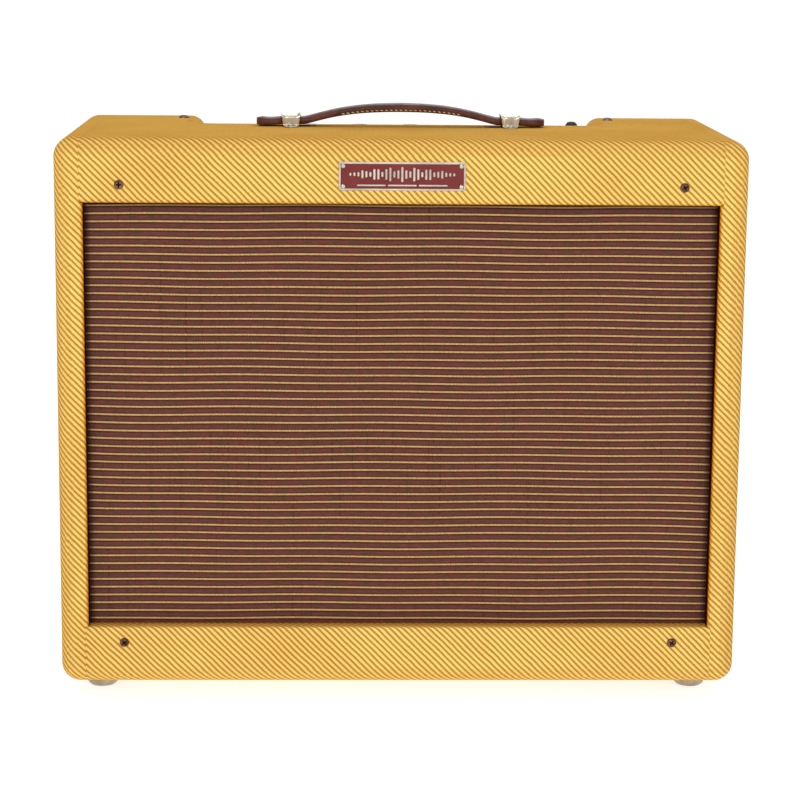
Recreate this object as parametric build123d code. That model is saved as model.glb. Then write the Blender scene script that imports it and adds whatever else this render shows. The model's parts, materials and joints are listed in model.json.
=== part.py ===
from build123d import *
import math
import os

# A valve guitar combo amplifier: a tweed-covered pine cabinet that holds one 12 inch speaker
# on a baffle and a five-valve chassis hung under the top board.
# X points right seen from the front, Y points to the back and Z points up.
# The origin is on the floor under the middle of the cabinet. Lengths are in millimetres.

# ---- cabinet ----
WIDTH = 508.0
DEPTH = 241.3
BODY_HEIGHT = 410.0
FOOT_HEIGHT = 15.0
BOARD = 19.2            # pine board
COVER = 0.8             # glued tweed, and the grille cloth
CORNER_R = 14.0         # rounding of the four long edges
EDGE_R = 12.0           # rounding of the front and back outlines

FRONT = -DEPTH / 2
BACK = DEPTH / 2
HALF = WIDTH / 2
BASE = FOOT_HEIGHT
TOP = FOOT_HEIGHT + BODY_HEIGHT
INNER_HALF = HALF - COVER - BOARD
CEILING = TOP - COVER - BOARD
INNER_FLOOR = BASE + COVER + BOARD

# ---- front frame, baffle and grille ----
OPENING_HALF = 232.4
OPENING_LOW = BASE + 44.4
OPENING_HIGH = BASE + 363.0
REVEAL = 12.0           # from the front face back to the grille cloth
BAFFLE = 9.5
BAFFLE_HALF = 233.4
BAFFLE_GAP = 3.0        # above and below the baffle
CLOTH_Y = FRONT + REVEAL
BAFFLE_Y = CLOTH_Y + COVER
BAFFLE_BACK = BAFFLE_Y + BAFFLE
BAFFLE_SCREW_X = 206.0
BAFFLE_SCREW_Z = (BASE + 32.3, BASE + 376.3)

# ---- control well in the top board ----
WELL_HALF = 154.5
WELL_FRONT = 37.3
WELL_CORNER_R = 14.0

# ---- back ----
BACK_PLY = 8.0
BACK_FACE = BACK - 3.35             # back of the ply panels
BACK_INNER = BACK_FACE - BACK_PLY
BACK_EDGE_GAP = 1.6
UPPER_BACK = (254.0, CEILING - 1.4)
LOWER_BACK = (INNER_FLOOR + 1.0, 160.0)
CLEAT = 19.0

# ---- chassis ----
SHEET = 1.5
CHASSIS_HALF = 190.0
CHASSIS_FRONT = 30.0
CHASSIS_BACK = 107.0
CHASSIS_HEIGHT = 50.0
PANEL_TOP = CEILING
PANEL_UNDER = PANEL_TOP - SHEET
CHASSIS_LOW = PANEL_TOP - CHASSIS_HEIGHT
CHASSIS_FLOOR = CHASSIS_LOW + SHEET
CONTROL_Y = 76.0
BOLT_X = 170.5
BOLT_Y = 84.3
KNOB_X = {"mic_volume": -70.5, "instrument_volume": -29.5, "tone": 11.0}
SWITCH_X = 70.0
PILOT_X = 104.0
FUSE_X = 140.6
INPUT_X = [-99.5 - 15.6 * i for i in range(4)]
OUTPUT_X = (-120.0, -142.0)
OUTPUT_Y = 92.0
PLUG_R = 3.25           # bore for a quarter inch plug
NUT_TOP = PANEL_TOP + 2.5
TOGGLE_REST = 12.5      # degrees that the lever leans forward when the switch is off
GROMMET = (108.0, 50.0)
CIRCUIT_X = (-160.0, 96.0)
CIRCUIT_Y = (36.0, 62.0)
CIRCUIT_LIFT = 14.5     # spacer height under the fibre board
CIRCUIT_THICK = 2.4
MAINS_CORE_X = (120.0, 182.0)
MAINS_CORE_Y = (44.0, 98.0)
MAINS_DROP = 62.0       # how far the mains transformer hangs below the shelf
MAINS_BELL = 14.0
OUTPUT_CORE_X = (0.0, 54.0)
OUTPUT_CORE_DEPTH = 30.0
OUTPUT_COIL_DEPTH = 9.0

# ---- valves ----
VALVE_Y = 76.0
OCTAL_X = (0.0, 42.0, 86.0)
NOVAL_X = (-44.0, -84.0)
OCTAL_R = (15.2, 15.2, 16.6)
OCTAL_LENGTH = (64.0, 64.0, 72.0)   # glass below the base
OCTAL_BASE = 22.0
NOVAL_R = 10.2
NOVAL_LENGTH = 46.0
SHIELD_R = 12.0
GLASS = 1.2

# ---- speaker ----
SPEAKER_Z = (OPENING_LOW + OPENING_HIGH) / 2
SPEAKER_HOLE_R = 140.0
RIM_R = 154.5
RIM_Y = BAFFLE_BACK + 4.0           # front of the steel rim, behind the gasket
SPEAKER_BOLT_R = 147.0              # radius of the bolt circle
CONE_R = 129.0
CONE_DEPTH = 55.5
COIL_R = 19.2
MAGNET_R = 38.0
MAGNET_LENGTH = 42.0
BASKET_WINDOWS = 8

# ---- handle ----
HANDLE_X = 1.4
HANDLE_Y = 6.0
BRACKET_X = 84.5
STRAP_HALF = 10.5
STRAP_THICK = 6.3
STRAP_END = 111.2
STRAP_LOW = TOP + 1.2               # underside of the strap in its brackets
STRAP_RISE = 10.1                   # how much higher the middle of the arch is
GRIP_HALF = 42.0
SCARF_GAP = 0.35


# ---- shape helpers ----
def block(x0, x1, y0, y1, z0, z1):
    """A box between two corners."""
    return Pos((x0 + x1) / 2, (y0 + y1) / 2, (z0 + z1) / 2) * Box(x1 - x0, y1 - y0, z1 - z0)


def post(x, y, z0, z1, radius):
    """An upright cylinder."""
    return Pos(x, y, (z0 + z1) / 2) * Cylinder(radius, z1 - z0)


def rod(x, z, y0, y1, radius):
    """A cylinder along Y."""
    return Pos(x, (y0 + y1) / 2, z) * Rot(90, 0, 0) * Cylinder(radius, y1 - y0)


def turned(points):
    """A solid of revolution about Z from a closed outline of (radius, height) points."""
    outline = Polyline(*[(r, 0, z) for r, z in points], close=True)
    return revolve(make_face(outline), Axis.Z)


def turned_y(points, z=SPEAKER_Z):
    """A solid of revolution about the speaker's axis from (radius, y) points."""
    return Pos(0, 0, z) * Rot(-90, 0, 0) * turned(points)


def hexagon(x, y, z0, z1, across, bore):
    """A hexagonal nut standing on z0, with a round bore."""
    nut = extrude(RegularPolygon(across / 2, 6, major_radius=False), z1 - z0)
    return Pos(x, y, z0) * nut - post(x, y, z0 - 1, z1 + 1, bore)


def save(name, *shapes):
    """Write one sub-part, as its separate solids, to its own file."""
    solids = [solid for shape in shapes for solid in shape.solids()]
    export_step(Compound(solids), f"parts/{name}.step")


# ---- cabinet ----
def cabinet_block(inset):
    """The cabinet's outer shape with its rounded edges and the control well."""
    edge = EDGE_R - inset
    body = block(-HALF + inset, HALF - inset, FRONT + inset, BACK - inset, BASE + inset, TOP - inset)
    body = fillet(body.edges().filter_by(Axis.Y), CORNER_R - inset)
    well_floor = CEILING - 10
    well = block(-WELL_HALF - inset, WELL_HALF + inset, WELL_FRONT - inset, BACK + 20, well_floor, TOP + 20)
    well_corners = well.edges().filter_by(Axis.Z).group_by(Axis.Y)[0]
    body = body - fillet(well_corners, WELL_CORNER_R + inset)
    front = body.faces().sort_by(Axis.Y)[0].edges()
    back = [e for e in body.faces().sort_by(Axis.Y)[-1].edges() if e.center().Z > well_floor + 1
            or e.center().Z < well_floor - 1]
    rim = [e for e in body.faces().sort_by(Axis.Z)[-1].edges()
           if abs(e.center().X) < WELL_HALF + inset + 1 and e.center().Y > WELL_FRONT - inset - 1]
    return fillet([*front, *back, *rim], edge)


def bolt_clearance():
    """Holes through the top board for the chassis bolts."""
    return [post(x, BOLT_Y, CEILING - 5, TOP + 5, 2.5) for x in (-BOLT_X, BOLT_X)]


def cabinet_boards():
    """The side, top and bottom boards and the two front rails."""
    wood = cabinet_block(COVER)
    side = block(INNER_HALF, HALF + 1, FRONT - 1, BACK + 1, 0, TOP + 1)
    save("side_panels", wood & side, wood & mirror(side, Plane.YZ))
    between = block(-INNER_HALF, INNER_HALF, FRONT - 1, BACK + 1, CEILING, TOP + 1)
    save("top_panel", (wood & between) - bolt_clearance())
    save("bottom_panel", wood & block(-INNER_HALF, INNER_HALF, FRONT - 1, BACK + 1, 0, INNER_FLOOR))
    rail_back = FRONT + REVEAL
    upper = block(-INNER_HALF, INNER_HALF, FRONT + COVER, rail_back, OPENING_HIGH + COVER, CEILING)
    lower = block(-INNER_HALF, INNER_HALF, FRONT + COVER, rail_back, INNER_FLOOR, OPENING_LOW - COVER)
    for x in (-BAFFLE_SCREW_X, BAFFLE_SCREW_X):
        lower -= rod(x, BAFFLE_SCREW_Z[0], FRONT, BAFFLE_BACK, 1.9)
        upper -= rod(x, BAFFLE_SCREW_Z[1], FRONT, BAFFLE_BACK, 1.9)
    save("front_rails", upper, lower)


def tweed_shell():
    """The tweed glued over the boards, round the front opening and round the well."""
    skin = cabinet_block(0) - cabinet_block(COVER)
    inside = block(-INNER_HALF, INNER_HALF, FRONT + REVEAL, BACK + 1, INNER_FLOOR, CEILING)
    opening = block(-OPENING_HALF, OPENING_HALF, FRONT - 1, FRONT + REVEAL, OPENING_LOW, OPENING_HIGH)
    skin -= [inside, opening]
    start = FRONT + COVER
    end = FRONT + REVEAL
    folded = block(OPENING_HALF, INNER_HALF, start, end, OPENING_LOW - COVER, OPENING_HIGH + COVER)
    skin += [folded, mirror(folded, Plane.YZ)]
    skin += block(-OPENING_HALF, OPENING_HALF, start, end, OPENING_HIGH, OPENING_HIGH + COVER)
    skin += block(-OPENING_HALF, OPENING_HALF, start, end, OPENING_LOW - COVER, OPENING_LOW)
    for x in (-BAFFLE_SCREW_X, BAFFLE_SCREW_X):
        skin -= [rod(x, z, FRONT - 1, end, 1.9) for z in BAFFLE_SCREW_Z]
    save("tweed_shell_cover", skin - bolt_clearance())


def baffle_and_grille():
    """The ply baffle with its speaker hole, the cloth over it and the four screws."""
    low = INNER_FLOOR + BAFFLE_GAP
    high = CEILING - BAFFLE_GAP
    board = block(-BAFFLE_HALF, BAFFLE_HALF, BAFFLE_Y, BAFFLE_BACK, low, high)
    cloth = block(-BAFFLE_HALF, BAFFLE_HALF, CLOTH_Y, BAFFLE_Y, low, high)
    board -= rod(0, SPEAKER_Z, BAFFLE_Y - 1, BAFFLE_BACK + 1, SPEAKER_HOLE_R)
    for bolt in speaker_bolt_places():
        board -= bolt * speaker_bolt(2.5, 5.1)
    screws = []
    for x in (-BAFFLE_SCREW_X, BAFFLE_SCREW_X):
        for z in BAFFLE_SCREW_Z:
            shank = rod(x, z, FRONT, BAFFLE_BACK, 1.9)
            board -= shank
            cloth -= shank
            dome = turned([(0, 0), (3.4, 0), (3.1, 0.7), (1.9, 1.4), (0, 1.6)])
            head = Pos(x, FRONT, z) * Rot(90, 0, 0) * dome
            screws.append(shank + head)
    save("baffle_board", board)
    save("grille_cloth", cloth)
    save("baffle_screws", *screws)


def back_of_cabinet():
    """Cleats, the two ply back panels, their tweed and their screws in cup washers."""
    half = INNER_HALF - BACK_EDGE_GAP
    plies, skins, cleats, screws = [], [], [], []
    for low, high in (UPPER_BACK, LOWER_BACK):
        ply = block(-half, half, BACK_INNER, BACK_FACE, low, high)
        wrap = block(-half - COVER, half + COVER, BACK_INNER, BACK_FACE + COVER, low - COVER, high + COVER)
        skin = wrap - ply
        for side in (-1, 1):
            inner, outer = sorted((side * (INNER_HALF - CLEAT), side * INNER_HALF))
            cleats.append(block(inner, outer, BACK_INNER - CLEAT, BACK_INNER, low, high))
            for z in (low + 18, high - 18):
                x = side * (INNER_HALF - CLEAT / 2)
                shank = rod(x, z, BACK_INNER - 14, BACK_FACE + COVER, 1.8)
                ply -= shank
                skin -= shank
                cleats[-1] -= shank
                cup = [(0, 0), (5.6, 0), (5.2, 0.6), (3.8, 1.4), (2.0, 1.7), (0, 1.7)]
                screws.append(shank + Pos(x, BACK_FACE + COVER, z) * Rot(-90, 0, 0) * turned(cup))
        plies.append(ply)
        skins.append(skin)
    save("upper_back_panel", plies[0])
    save("lower_back_panel", plies[1])
    save("tweed_back_covers", *skins)
    save("back_cleats", *cleats)
    save("back_panel_screws", *screws)


def nameplate_and_feet():
    """The small plate on the upper rail with its four pins, and four domed glides."""
    x, z = -0.3, BASE + 383.6
    half_w, half_h, thick = 46.2, 10.4, 1.2
    pin_x, pin_z = 43.0, 7.4
    plate = block(x - half_w, x + half_w, FRONT - thick, FRONT, z - half_h, z + half_h)
    plate = fillet(plate.edges().filter_by(Axis.Y), 1.5)
    pins = []
    for px in (x - pin_x, x + pin_x):
        for pz in (z - pin_z, z + pin_z):
            dome = turned([(0, 0), (1.6, 0), (1.4, 0.5), (0.8, 0.85), (0, 0.95)])
            pins.append(Pos(px, FRONT - thick, pz) * Rot(90, 0, 0) * dome)
    save("nameplate", plate)
    save("nameplate_pins", *pins)
    glide = turned([(0, 0), (5.0, 0), (8.6, 1.4), (11.4, 4.6), (12.7, 9.0), (12.7, 12.6), (11.4, 13.6),
                    (11.4, 15), (0, 15)])
    save("glide_feet", *[Pos(gx, gy, 0) * glide for gx in (-227, 227) for gy in (-70.6, 70.6)])


# ---- handle ----
def strap_low(x):
    """Height of the strap's underside: flat in the brackets, arched between them."""
    share = (x / (BRACKET_X - 10)) ** 2
    if share >= 1:
        return STRAP_LOW
    return STRAP_LOW + STRAP_RISE * (1 - share) ** 1.3 * (1 + 0.6 * share)


def whole_strap():
    """The leather strap as one arched band, square at both ends."""
    reach = BRACKET_X - 10
    stations = [reach * i / 8 for i in range(-8, 9)]
    under = Spline([(x, 0, strap_low(x)) for x in stations], tangents=[(1, 0, 0), (1, 0, 0)])
    over = Spline([(x, 0, strap_low(x) + STRAP_THICK) for x in stations], tangents=[(1, 0, 0), (1, 0, 0)])
    high = STRAP_LOW + STRAP_THICK
    ends = []
    for side in (-1, 1):
        inner, outer = side * reach, side * STRAP_END
        ends += Polyline((inner, 0, high), (outer, 0, high), (outer, 0, STRAP_LOW), (inner, 0, STRAP_LOW)).edges()
    face = make_face([*under.edges(), *over.edges(), *ends])
    return extrude(Pos(0, HANDLE_Y, 0) * face, amount=STRAP_HALF, dir=(0, 1, 0), both=True)


def handle():
    """Two plated brackets, their screws, and the strap parted by a scarf cut each side of the grip."""
    strap = whole_strap()
    scarf = Pos(-GRIP_HALF, HANDLE_Y, strap_low(GRIP_HALF) + STRAP_THICK / 2) * Rot(0, -45, 0)
    keep_left = scarf * Pos(-100 - SCARF_GAP / 2, 0, 0) * Box(200, 60, 400)
    drop_left = scarf * Pos(-100 + SCARF_GAP / 2, 0, 0) * Box(200, 60, 400)
    left = strap & keep_left
    right = mirror(left, Plane.YZ)
    grip = strap - drop_left - mirror(drop_left, Plane.YZ)
    centre = Pos(HANDLE_X, 0, 0)
    save("handle_grip", centre * grip)
    save("handle_end_left", centre * left)
    save("handle_end_right", centre * right)
    brackets, screws = [], []
    for side in (-1, 1):
        bracket, pair = handle_bracket(HANDLE_X + side * BRACKET_X)
        brackets.append(bracket)
        screws += pair
    save("handle_brackets", *brackets)
    save("handle_bracket_screws", *screws)


def handle_bracket(x):
    """One saddle over the strap: a lipped top, two walls and two round feet with dome screws."""
    wall_in = STRAP_HALF + 0.4
    wall_out = wall_in + 1.2
    lid_low = STRAP_LOW + STRAP_THICK + 0.5
    lid_high = TOP + 9.3
    bracket = block(x - 8, x + 8, HANDLE_Y - wall_out, HANDLE_Y + wall_out, lid_low, lid_high)
    screws = []
    for side in (-1, 1):
        inner = HANDLE_Y + side * wall_in
        outer = HANDLE_Y + side * wall_out
        bracket += block(x - 6.5, x + 6.5, min(inner, outer), max(inner, outer), TOP, lid_low)
        screw_y = HANDLE_Y + side * (wall_out + 3.6)
        foot = post(x, screw_y, TOP, TOP + 1.2, 5.6) + block(
            x - 5.6, x + 5.6, min(outer, screw_y), max(outer, screw_y), TOP, TOP + 1.2)
        bracket += foot
        dome = turned([(0, 0), (3.3, 0), (3.0, 0.9), (1.9, 1.8), (0, 2.1)])
        screws.append(Pos(x, screw_y, TOP + 1.2) * dome)
    return bracket, screws


# ---- chassis ----
def chassis():
    """A channel of plated steel: control panel on top, web in front, valve shelf below, closed ends."""
    outer = block(-CHASSIS_HALF, CHASSIS_HALF, CHASSIS_FRONT, CHASSIS_BACK, CHASSIS_LOW, PANEL_TOP)
    hollow = block(-CHASSIS_HALF + SHEET, CHASSIS_HALF - SHEET, CHASSIS_FRONT + SHEET, CHASSIS_BACK + 1,
                   CHASSIS_FLOOR, PANEL_UNDER)
    body = outer - hollow
    body -= [post(x, BOLT_Y, PANEL_UNDER - 1, PANEL_TOP + 1, 2.5) for x in (-BOLT_X, BOLT_X)]
    for x, radius in panel_holes():
        body -= post(x, CONTROL_Y, PANEL_UNDER - 1, PANEL_TOP + 1, radius)
    for x, y, radius in shelf_holes():
        body -= post(x, y, CHASSIS_LOW - 1, CHASSIS_FLOOR + 1, radius)
    save("chassis", body)
    bolts = []
    for x in (-BOLT_X, BOLT_X):
        head = Pos(x, BOLT_Y, TOP) * turned([(0, 0), (4.2, 0), (3.9, 1.0), (2.4, 2.0), (0, 2.3)])
        bolts.append(head + post(x, BOLT_Y, PANEL_UNDER - 7, TOP, 2.4))
        bolts.append(hexagon(x, BOLT_Y, PANEL_UNDER - 4.5, PANEL_UNDER, 9.5, 2.4))
    save("chassis_bolts", *bolts)


def panel_holes():
    """(x, radius) of each hole in the control panel."""
    knobs = [(x, 4.8) for x in KNOB_X.values()]
    jacks = [(x, 4.9) for x in INPUT_X]
    return knobs + jacks + [(SWITCH_X, 6.0), (PILOT_X, 7.5), (FUSE_X, 7.1)]


def shelf_holes():
    """(x, y, radius) of each hole in the valve shelf."""
    octal = [(x, VALVE_Y, 14.6) for x in OCTAL_X]
    noval = [(x, VALVE_Y, 9.6) for x in NOVAL_X]
    jacks = [(x, OUTPUT_Y, 4.9) for x in OUTPUT_X]
    return octal + noval + jacks + [(*GROMMET, 7.0)]


def controls():
    """Potentiometers with their shafts and pointer knobs, and the nuts on the panel."""
    pots, nuts = [], []
    for name, x in KNOB_X.items():
        can = post(x, CONTROL_Y, PANEL_UNDER - 12, PANEL_UNDER, 12.0)
        bush = post(x, CONTROL_Y, PANEL_UNDER, PANEL_TOP + 6, 4.7)
        pots.append(can + bush - post(x, CONTROL_Y, PANEL_TOP - 1.2, PANEL_TOP + 7, 3.05))
        nuts.append(hexagon(x, CONTROL_Y, PANEL_TOP, NUT_TOP, 12.0, 4.75))
        shaft = post(x, CONTROL_Y, PANEL_TOP - 0.9, PANEL_TOP + 13, 3.0)
        save(f"{name}_shaft", shaft)
        save(f"{name}_knob", Pos(x, CONTROL_Y, 0) * pointer_knob() - shaft)
    for x in INPUT_X:
        nuts.append(hexagon(x, CONTROL_Y, PANEL_TOP, NUT_TOP, 12.6, 4.85))
    nuts.append(hexagon(SWITCH_X, CONTROL_Y, PANEL_TOP, NUT_TOP, 15.0, 5.95))
    save("potentiometers", *pots)
    save("panel_nuts", *nuts)


def pointer_knob():
    """A moulded knob: a round skirt under a tapering pointer that aims at the front."""
    low = NUT_TOP + 0.5
    high = TOP - 3.7
    skirt = post(0, 0, low, low + 3.2, 9.6)
    base = Polyline((-6.4, 6.0), (6.4, 6.0), (2.0, -18.4), (-2.0, -18.4), close=True)
    crest = Polyline((-3.2, 5.2), (3.2, 5.2), (0.7, -17.4), (-0.7, -17.4), close=True)
    ridge = loft([Pos(0, 0, low) * make_face(base), Pos(0, 0, high) * make_face(crest)])
    hub = post(0, 0, low, high - 2.0, 7.4)
    return skirt + hub + ridge - post(0, 0, low - 1, PANEL_TOP + 6.4, 5.4)


def jacks():
    """Four input jacks under the panel and two speaker jacks above the shelf, each a bored body."""
    inputs, outputs = [], []
    for x in INPUT_X:
        body = post(x, CONTROL_Y, PANEL_UNDER - 18, PANEL_UNDER, 6.6)
        thread = post(x, CONTROL_Y, PANEL_UNDER, PANEL_TOP + 4, 4.8)
        inputs.append(body + thread - post(x, CONTROL_Y, 300, TOP, PLUG_R))
    for x in OUTPUT_X:
        body = post(x, OUTPUT_Y, CHASSIS_FLOOR, CHASSIS_FLOOR + 18, 7.5)
        thread = post(x, OUTPUT_Y, CHASSIS_LOW - 4, CHASSIS_FLOOR, 4.8)
        nut = hexagon(x, OUTPUT_Y, CHASSIS_LOW - 2.5, CHASSIS_LOW, 12.6, 4.8)
        outputs.append(body + thread + nut - post(x, OUTPUT_Y, 300, TOP, PLUG_R))
    save("input_jacks", *inputs)
    save("speaker_jacks", *outputs)


def switch_lamp_and_fuse():
    """The bat-lever mains switch, the jewelled pilot lamp and the fuse holder with its cap."""
    body = block(SWITCH_X - 7, SWITCH_X + 7, CONTROL_Y - 10, CONTROL_Y + 10, PANEL_UNDER - 18, PANEL_UNDER)
    bush = post(SWITCH_X, CONTROL_Y, PANEL_UNDER, PANEL_TOP + 3.5, 5.9)
    pivot_z = PANEL_TOP + 2.2
    save("toggle_switch_body", body + bush - post(SWITCH_X, CONTROL_Y, pivot_z - 3, PANEL_TOP + 9, 2.8))
    bat = turned([(0, -2.2), (1.5, -1.9), (2.3, -0.8), (2.3, 0.8), (1.6, 1.8), (1.5, 4.0), (2.6, 11.0),
                  (2.2, 12.8), (1.2, 13.6), (0, 13.8)])
    save("toggle_lever", Pos(SWITCH_X, CONTROL_Y, pivot_z) * Rot(-TOGGLE_REST, 0, 0) * bat)

    ring = turned([(6.6, -22), (7.3, -22), (7.3, 0), (9.6, 0), (9.2, 1.6), (7.4, 2.4), (6.6, 2.4)])
    jewel = turned([(0, 1.0), (6.5, 1.0), (6.5, 3.2), (5.6, 6.6), (3.4, 9.0), (0, 10.0)])
    save("pilot_lamp_holder", Pos(PILOT_X, CONTROL_Y, PANEL_TOP) * ring)
    save("pilot_jewel", Pos(PILOT_X, CONTROL_Y, PANEL_TOP) * jewel)

    tube = turned([(0, -40), (7.0, -40), (7.0, 0), (9.4, 0), (9.4, 1.8), (4.3, 1.8), (4.3, -36), (0, -36)])
    cap = turned([(0, -10), (3.9, -10), (3.9, 2.2), (7.0, 2.2), (7.2, 12.5), (6.6, 16.0), (4.8, 18.4),
                  (2.6, 19.3), (0, 19.5)])
    save("fuse_holder", Pos(FUSE_X, CONTROL_Y, PANEL_TOP) * tube)
    save("fuse_cap", Pos(FUSE_X, CONTROL_Y, PANEL_TOP) * cap)
    grommet = turned([(4.0, -3), (9.5, -3), (9.5, 0), (6.9, 0), (6.9, 1.5), (9.0, 1.5), (9.0, 4.0),
                      (4.0, 4.0)])
    save("cord_grommet", Pos(*GROMMET, CHASSIS_LOW) * grommet)


def circuit():
    """The fibre board on spacers with its filter capacitors and small parts."""
    low = CHASSIS_FLOOR + CIRCUIT_LIFT
    high = low + CIRCUIT_THICK
    board = block(*CIRCUIT_X, *CIRCUIT_Y, low, high)
    spacers = [post(x, CIRCUIT_Y[0] + 4, CHASSIS_FLOOR, low, 3.0) for x in (-150, -66, 20, 90)]
    save("circuit_board", board + spacers)

    def lying(x, y, length, radius):
        return Pos(x, y, high + radius) * Rot(0, 90, 0) * Cylinder(radius, length)

    save("filter_capacitors", *[lying(x, 50, 38, 8.0) for x in (-20, 26, 72)])
    small = [lying(-150 + 17 * i, 44, 15, 3.6) for i in range(6)]
    resistors = [lying(-150 + 11 * i, 56, 8, 1.6) for i in range(9)]
    save("board_components", *small, *resistors)


def transformers():
    """The mains transformer on the shelf and the output transformer on the web."""
    x0, x1 = MAINS_CORE_X
    y0, y1 = MAINS_CORE_Y
    low, high = CHASSIS_LOW - MAINS_DROP, CHASSIS_LOW
    inset = 4.0
    save("power_transformer", block(x0, x1, y0, y1, low + MAINS_BELL, high - MAINS_BELL))
    lower = block(x0 + inset, x1 - inset, y0 + inset, y1 - inset, low, low + MAINS_BELL)
    upper = block(x0 + inset, x1 - inset, y0 + inset, y1 - inset, high - MAINS_BELL, high)
    save("power_transformer_bells", fillet(lower.edges().group_by(Axis.Z)[0], 6.0), upper)
    x0, x1 = OUTPUT_CORE_X
    back = CHASSIS_FRONT
    front = back - OUTPUT_CORE_DEPTH
    stack = block(x0, x1, front, back, CHASSIS_LOW + 4, CHASSIS_LOW + 48)
    coil = block(x0 + 9, x1 - 9, front - OUTPUT_COIL_DEPTH, front, CHASSIS_LOW + 12, CHASSIS_LOW + 40)
    save("output_transformer", stack, fillet(coil.edges().filter_by(Axis.Z), 4.0))


# ---- valves ----
def valves():
    """Three octal valves and two shielded noval valves, hanging from sockets in the shelf."""
    sockets, bases, glass, shields = [], [], [], []
    for x, radius, length in zip(OCTAL_X, OCTAL_R, OCTAL_LENGTH):
        place = Pos(x, VALVE_Y, CHASSIS_LOW)
        socket = turned([(0, -6), (14.4, -6), (14.4, -1.4), (18.5, -1.4), (18.5, 0), (14.4, 0), (14.4, 5), (0, 5)])
        skirt = radius + 1
        base = turned([(0, -OCTAL_BASE), (skirt, -OCTAL_BASE), (skirt, -8), (14.6, -6), (0, -6)])
        sockets.append(place * socket)
        bases.append(place * base)
        glass.append(place * envelope(radius, -OCTAL_BASE, length))
    for x in NOVAL_X:
        place = Pos(x, VALVE_Y, CHASSIS_LOW)
        sockets.append(place * turned([(0, -4), (9.4, -4), (9.4, -1.2), (13.6, -1.2), (13.6, 0), (9.4, 0),
                                       (9.4, 5), (0, 5)]))
        glass.append(place * envelope(NOVAL_R, -4, NOVAL_LENGTH))
        shields.append(place * turned([(SHIELD_R - 0.8, -50), (SHIELD_R, -50), (SHIELD_R, -1.2),
                                       (SHIELD_R - 0.8, -1.2)]))
    save("valve_sockets", *sockets)
    save("valve_bases", *bases)
    save("valve_glass", *glass)
    save("valve_shields", *shields)


def envelope(radius, start, length):
    """A glass bulb hanging from height start, open at the base, with a rounded end."""
    outer = post(0, 0, start - length, start, radius)
    outer = fillet(outer.edges().sort_by(Axis.Z)[0], radius * 0.8)
    inner = post(0, 0, start - length + GLASS, start + 1, radius - GLASS)
    inner = fillet(inner.edges().sort_by(Axis.Z)[0], (radius - GLASS) * 0.8)
    return outer - inner


# ---- speaker ----
def speaker_bolt_places():
    """Eight places round the speaker's rim, each with the bolt's axis along Y."""
    angles = [22.5 + 45 * i for i in range(8)]
    return [Pos(SPEAKER_BOLT_R * math.cos(math.radians(a)), 0,
                SPEAKER_Z + SPEAKER_BOLT_R * math.sin(math.radians(a))) for a in angles]


def speaker_bolt(shank, head):
    """A countersunk bolt from the baffle's face to behind the rim."""
    return rod(0, 0, BAFFLE_Y + 3, RIM_Y + 9, shank) + rod(0, 0, BAFFLE_Y, BAFFLE_Y + 3, head)


def speaker():
    """A 12 inch driver: basket, gasket, surround, cone, dust cap, coil, spider and covered magnet."""
    holes = [place * rod(0, 0, BAFFLE_BACK - 1, RIM_Y + 9, 2.5) for place in speaker_bolt_places()]
    gasket = turned_y([(141.0, BAFFLE_BACK), (153.0, BAFFLE_BACK), (153.0, RIM_Y), (141.0, RIM_Y)])
    save("speaker_gasket", gasket - holes)
    save("speaker_basket", basket() - holes)

    bolts = []
    for place in speaker_bolt_places():
        bolts.append(place * speaker_bolt(2.4, 5.0))
        bolts.append(place * Rot(-90, 0, 0) * hexagon(0, 0, RIM_Y + 1.5, RIM_Y + 5.5, 9.5, 2.4))
    save("speaker_bolts", *bolts)

    lip = RIM_Y - 0.9
    edge = CONE_R + 0.4
    save("speaker_surround", turned_y([(edge, lip), (132.0, lip - 1.6), (134.6, lip), (140.8, lip), (140.8, RIM_Y),
                                       (134.6, RIM_Y), (132.0, RIM_Y - 1.6), (edge, RIM_Y)]))
    neck = lip + CONE_DEPTH
    middle = lip + CONE_DEPTH * 0.56
    save("speaker_cone", turned_y([(CONE_R, lip), (66.0, middle), (COIL_R, neck), (COIL_R, neck + 1.2),
                                   (65.4, middle + 1.1), (CONE_R, lip + 1.0)]))
    cap_y = neck - 5.6
    save("dust_cap", turned_y([(0, cap_y - 8.4), (9, cap_y - 7.6), (17, cap_y - 4.6), (23.0, cap_y + 0.6),
                               (22.2, cap_y + 1.4), (16.4, cap_y - 3.6), (8.8, cap_y - 6.5), (0, cap_y - 7.3)]))
    coil_start, coil_end = neck - 1.5, neck + 27
    save("voice_coil", turned_y([(18.6, coil_start), (COIL_R, coil_start), (COIL_R, coil_end), (18.6, coil_end)]))
    spider_y = neck + 5
    ridges = [(COIL_R + 0.5 + i * 3.4, spider_y + (1.2 if i % 2 else 0)) for i in range(10)]
    save("spider", turned_y([*ridges, *[(r, y + 0.7) for r, y in reversed(ridges)]]))
    motor_y = neck + 21
    motor_end = motor_y + MAGNET_LENGTH
    pot = turned_y([(20.0, motor_y), (MAGNET_R, motor_y), (MAGNET_R, motor_end), (0, motor_end),
                    (0, motor_end - 5), (MAGNET_R - 5, motor_end - 5), (MAGNET_R - 5, motor_y + 6),
                    (20.0, motor_y + 6)])
    pole = turned_y([(0, motor_y), (17.8, motor_y), (17.8, motor_y + 14), (0, motor_y + 14)])
    slug = turned_y([(0, motor_y + 14), (17.8, motor_y + 14), (17.8, motor_end - 5), (0, motor_end - 5)])
    save("speaker_magnet", pot, pole, slug)
    save("magnet_cover", turned_y([(38.4, motor_y), (41.6, motor_y), (41.6, motor_y + 40), (37.2, motor_y + 48),
                                   (22.0, motor_y + 51.6), (0, motor_y + 52.2), (0, motor_y + 51.0),
                                   (21.8, motor_y + 50.4), (36.4, motor_y + 47), (40.4, motor_y + 39.6)]))


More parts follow.
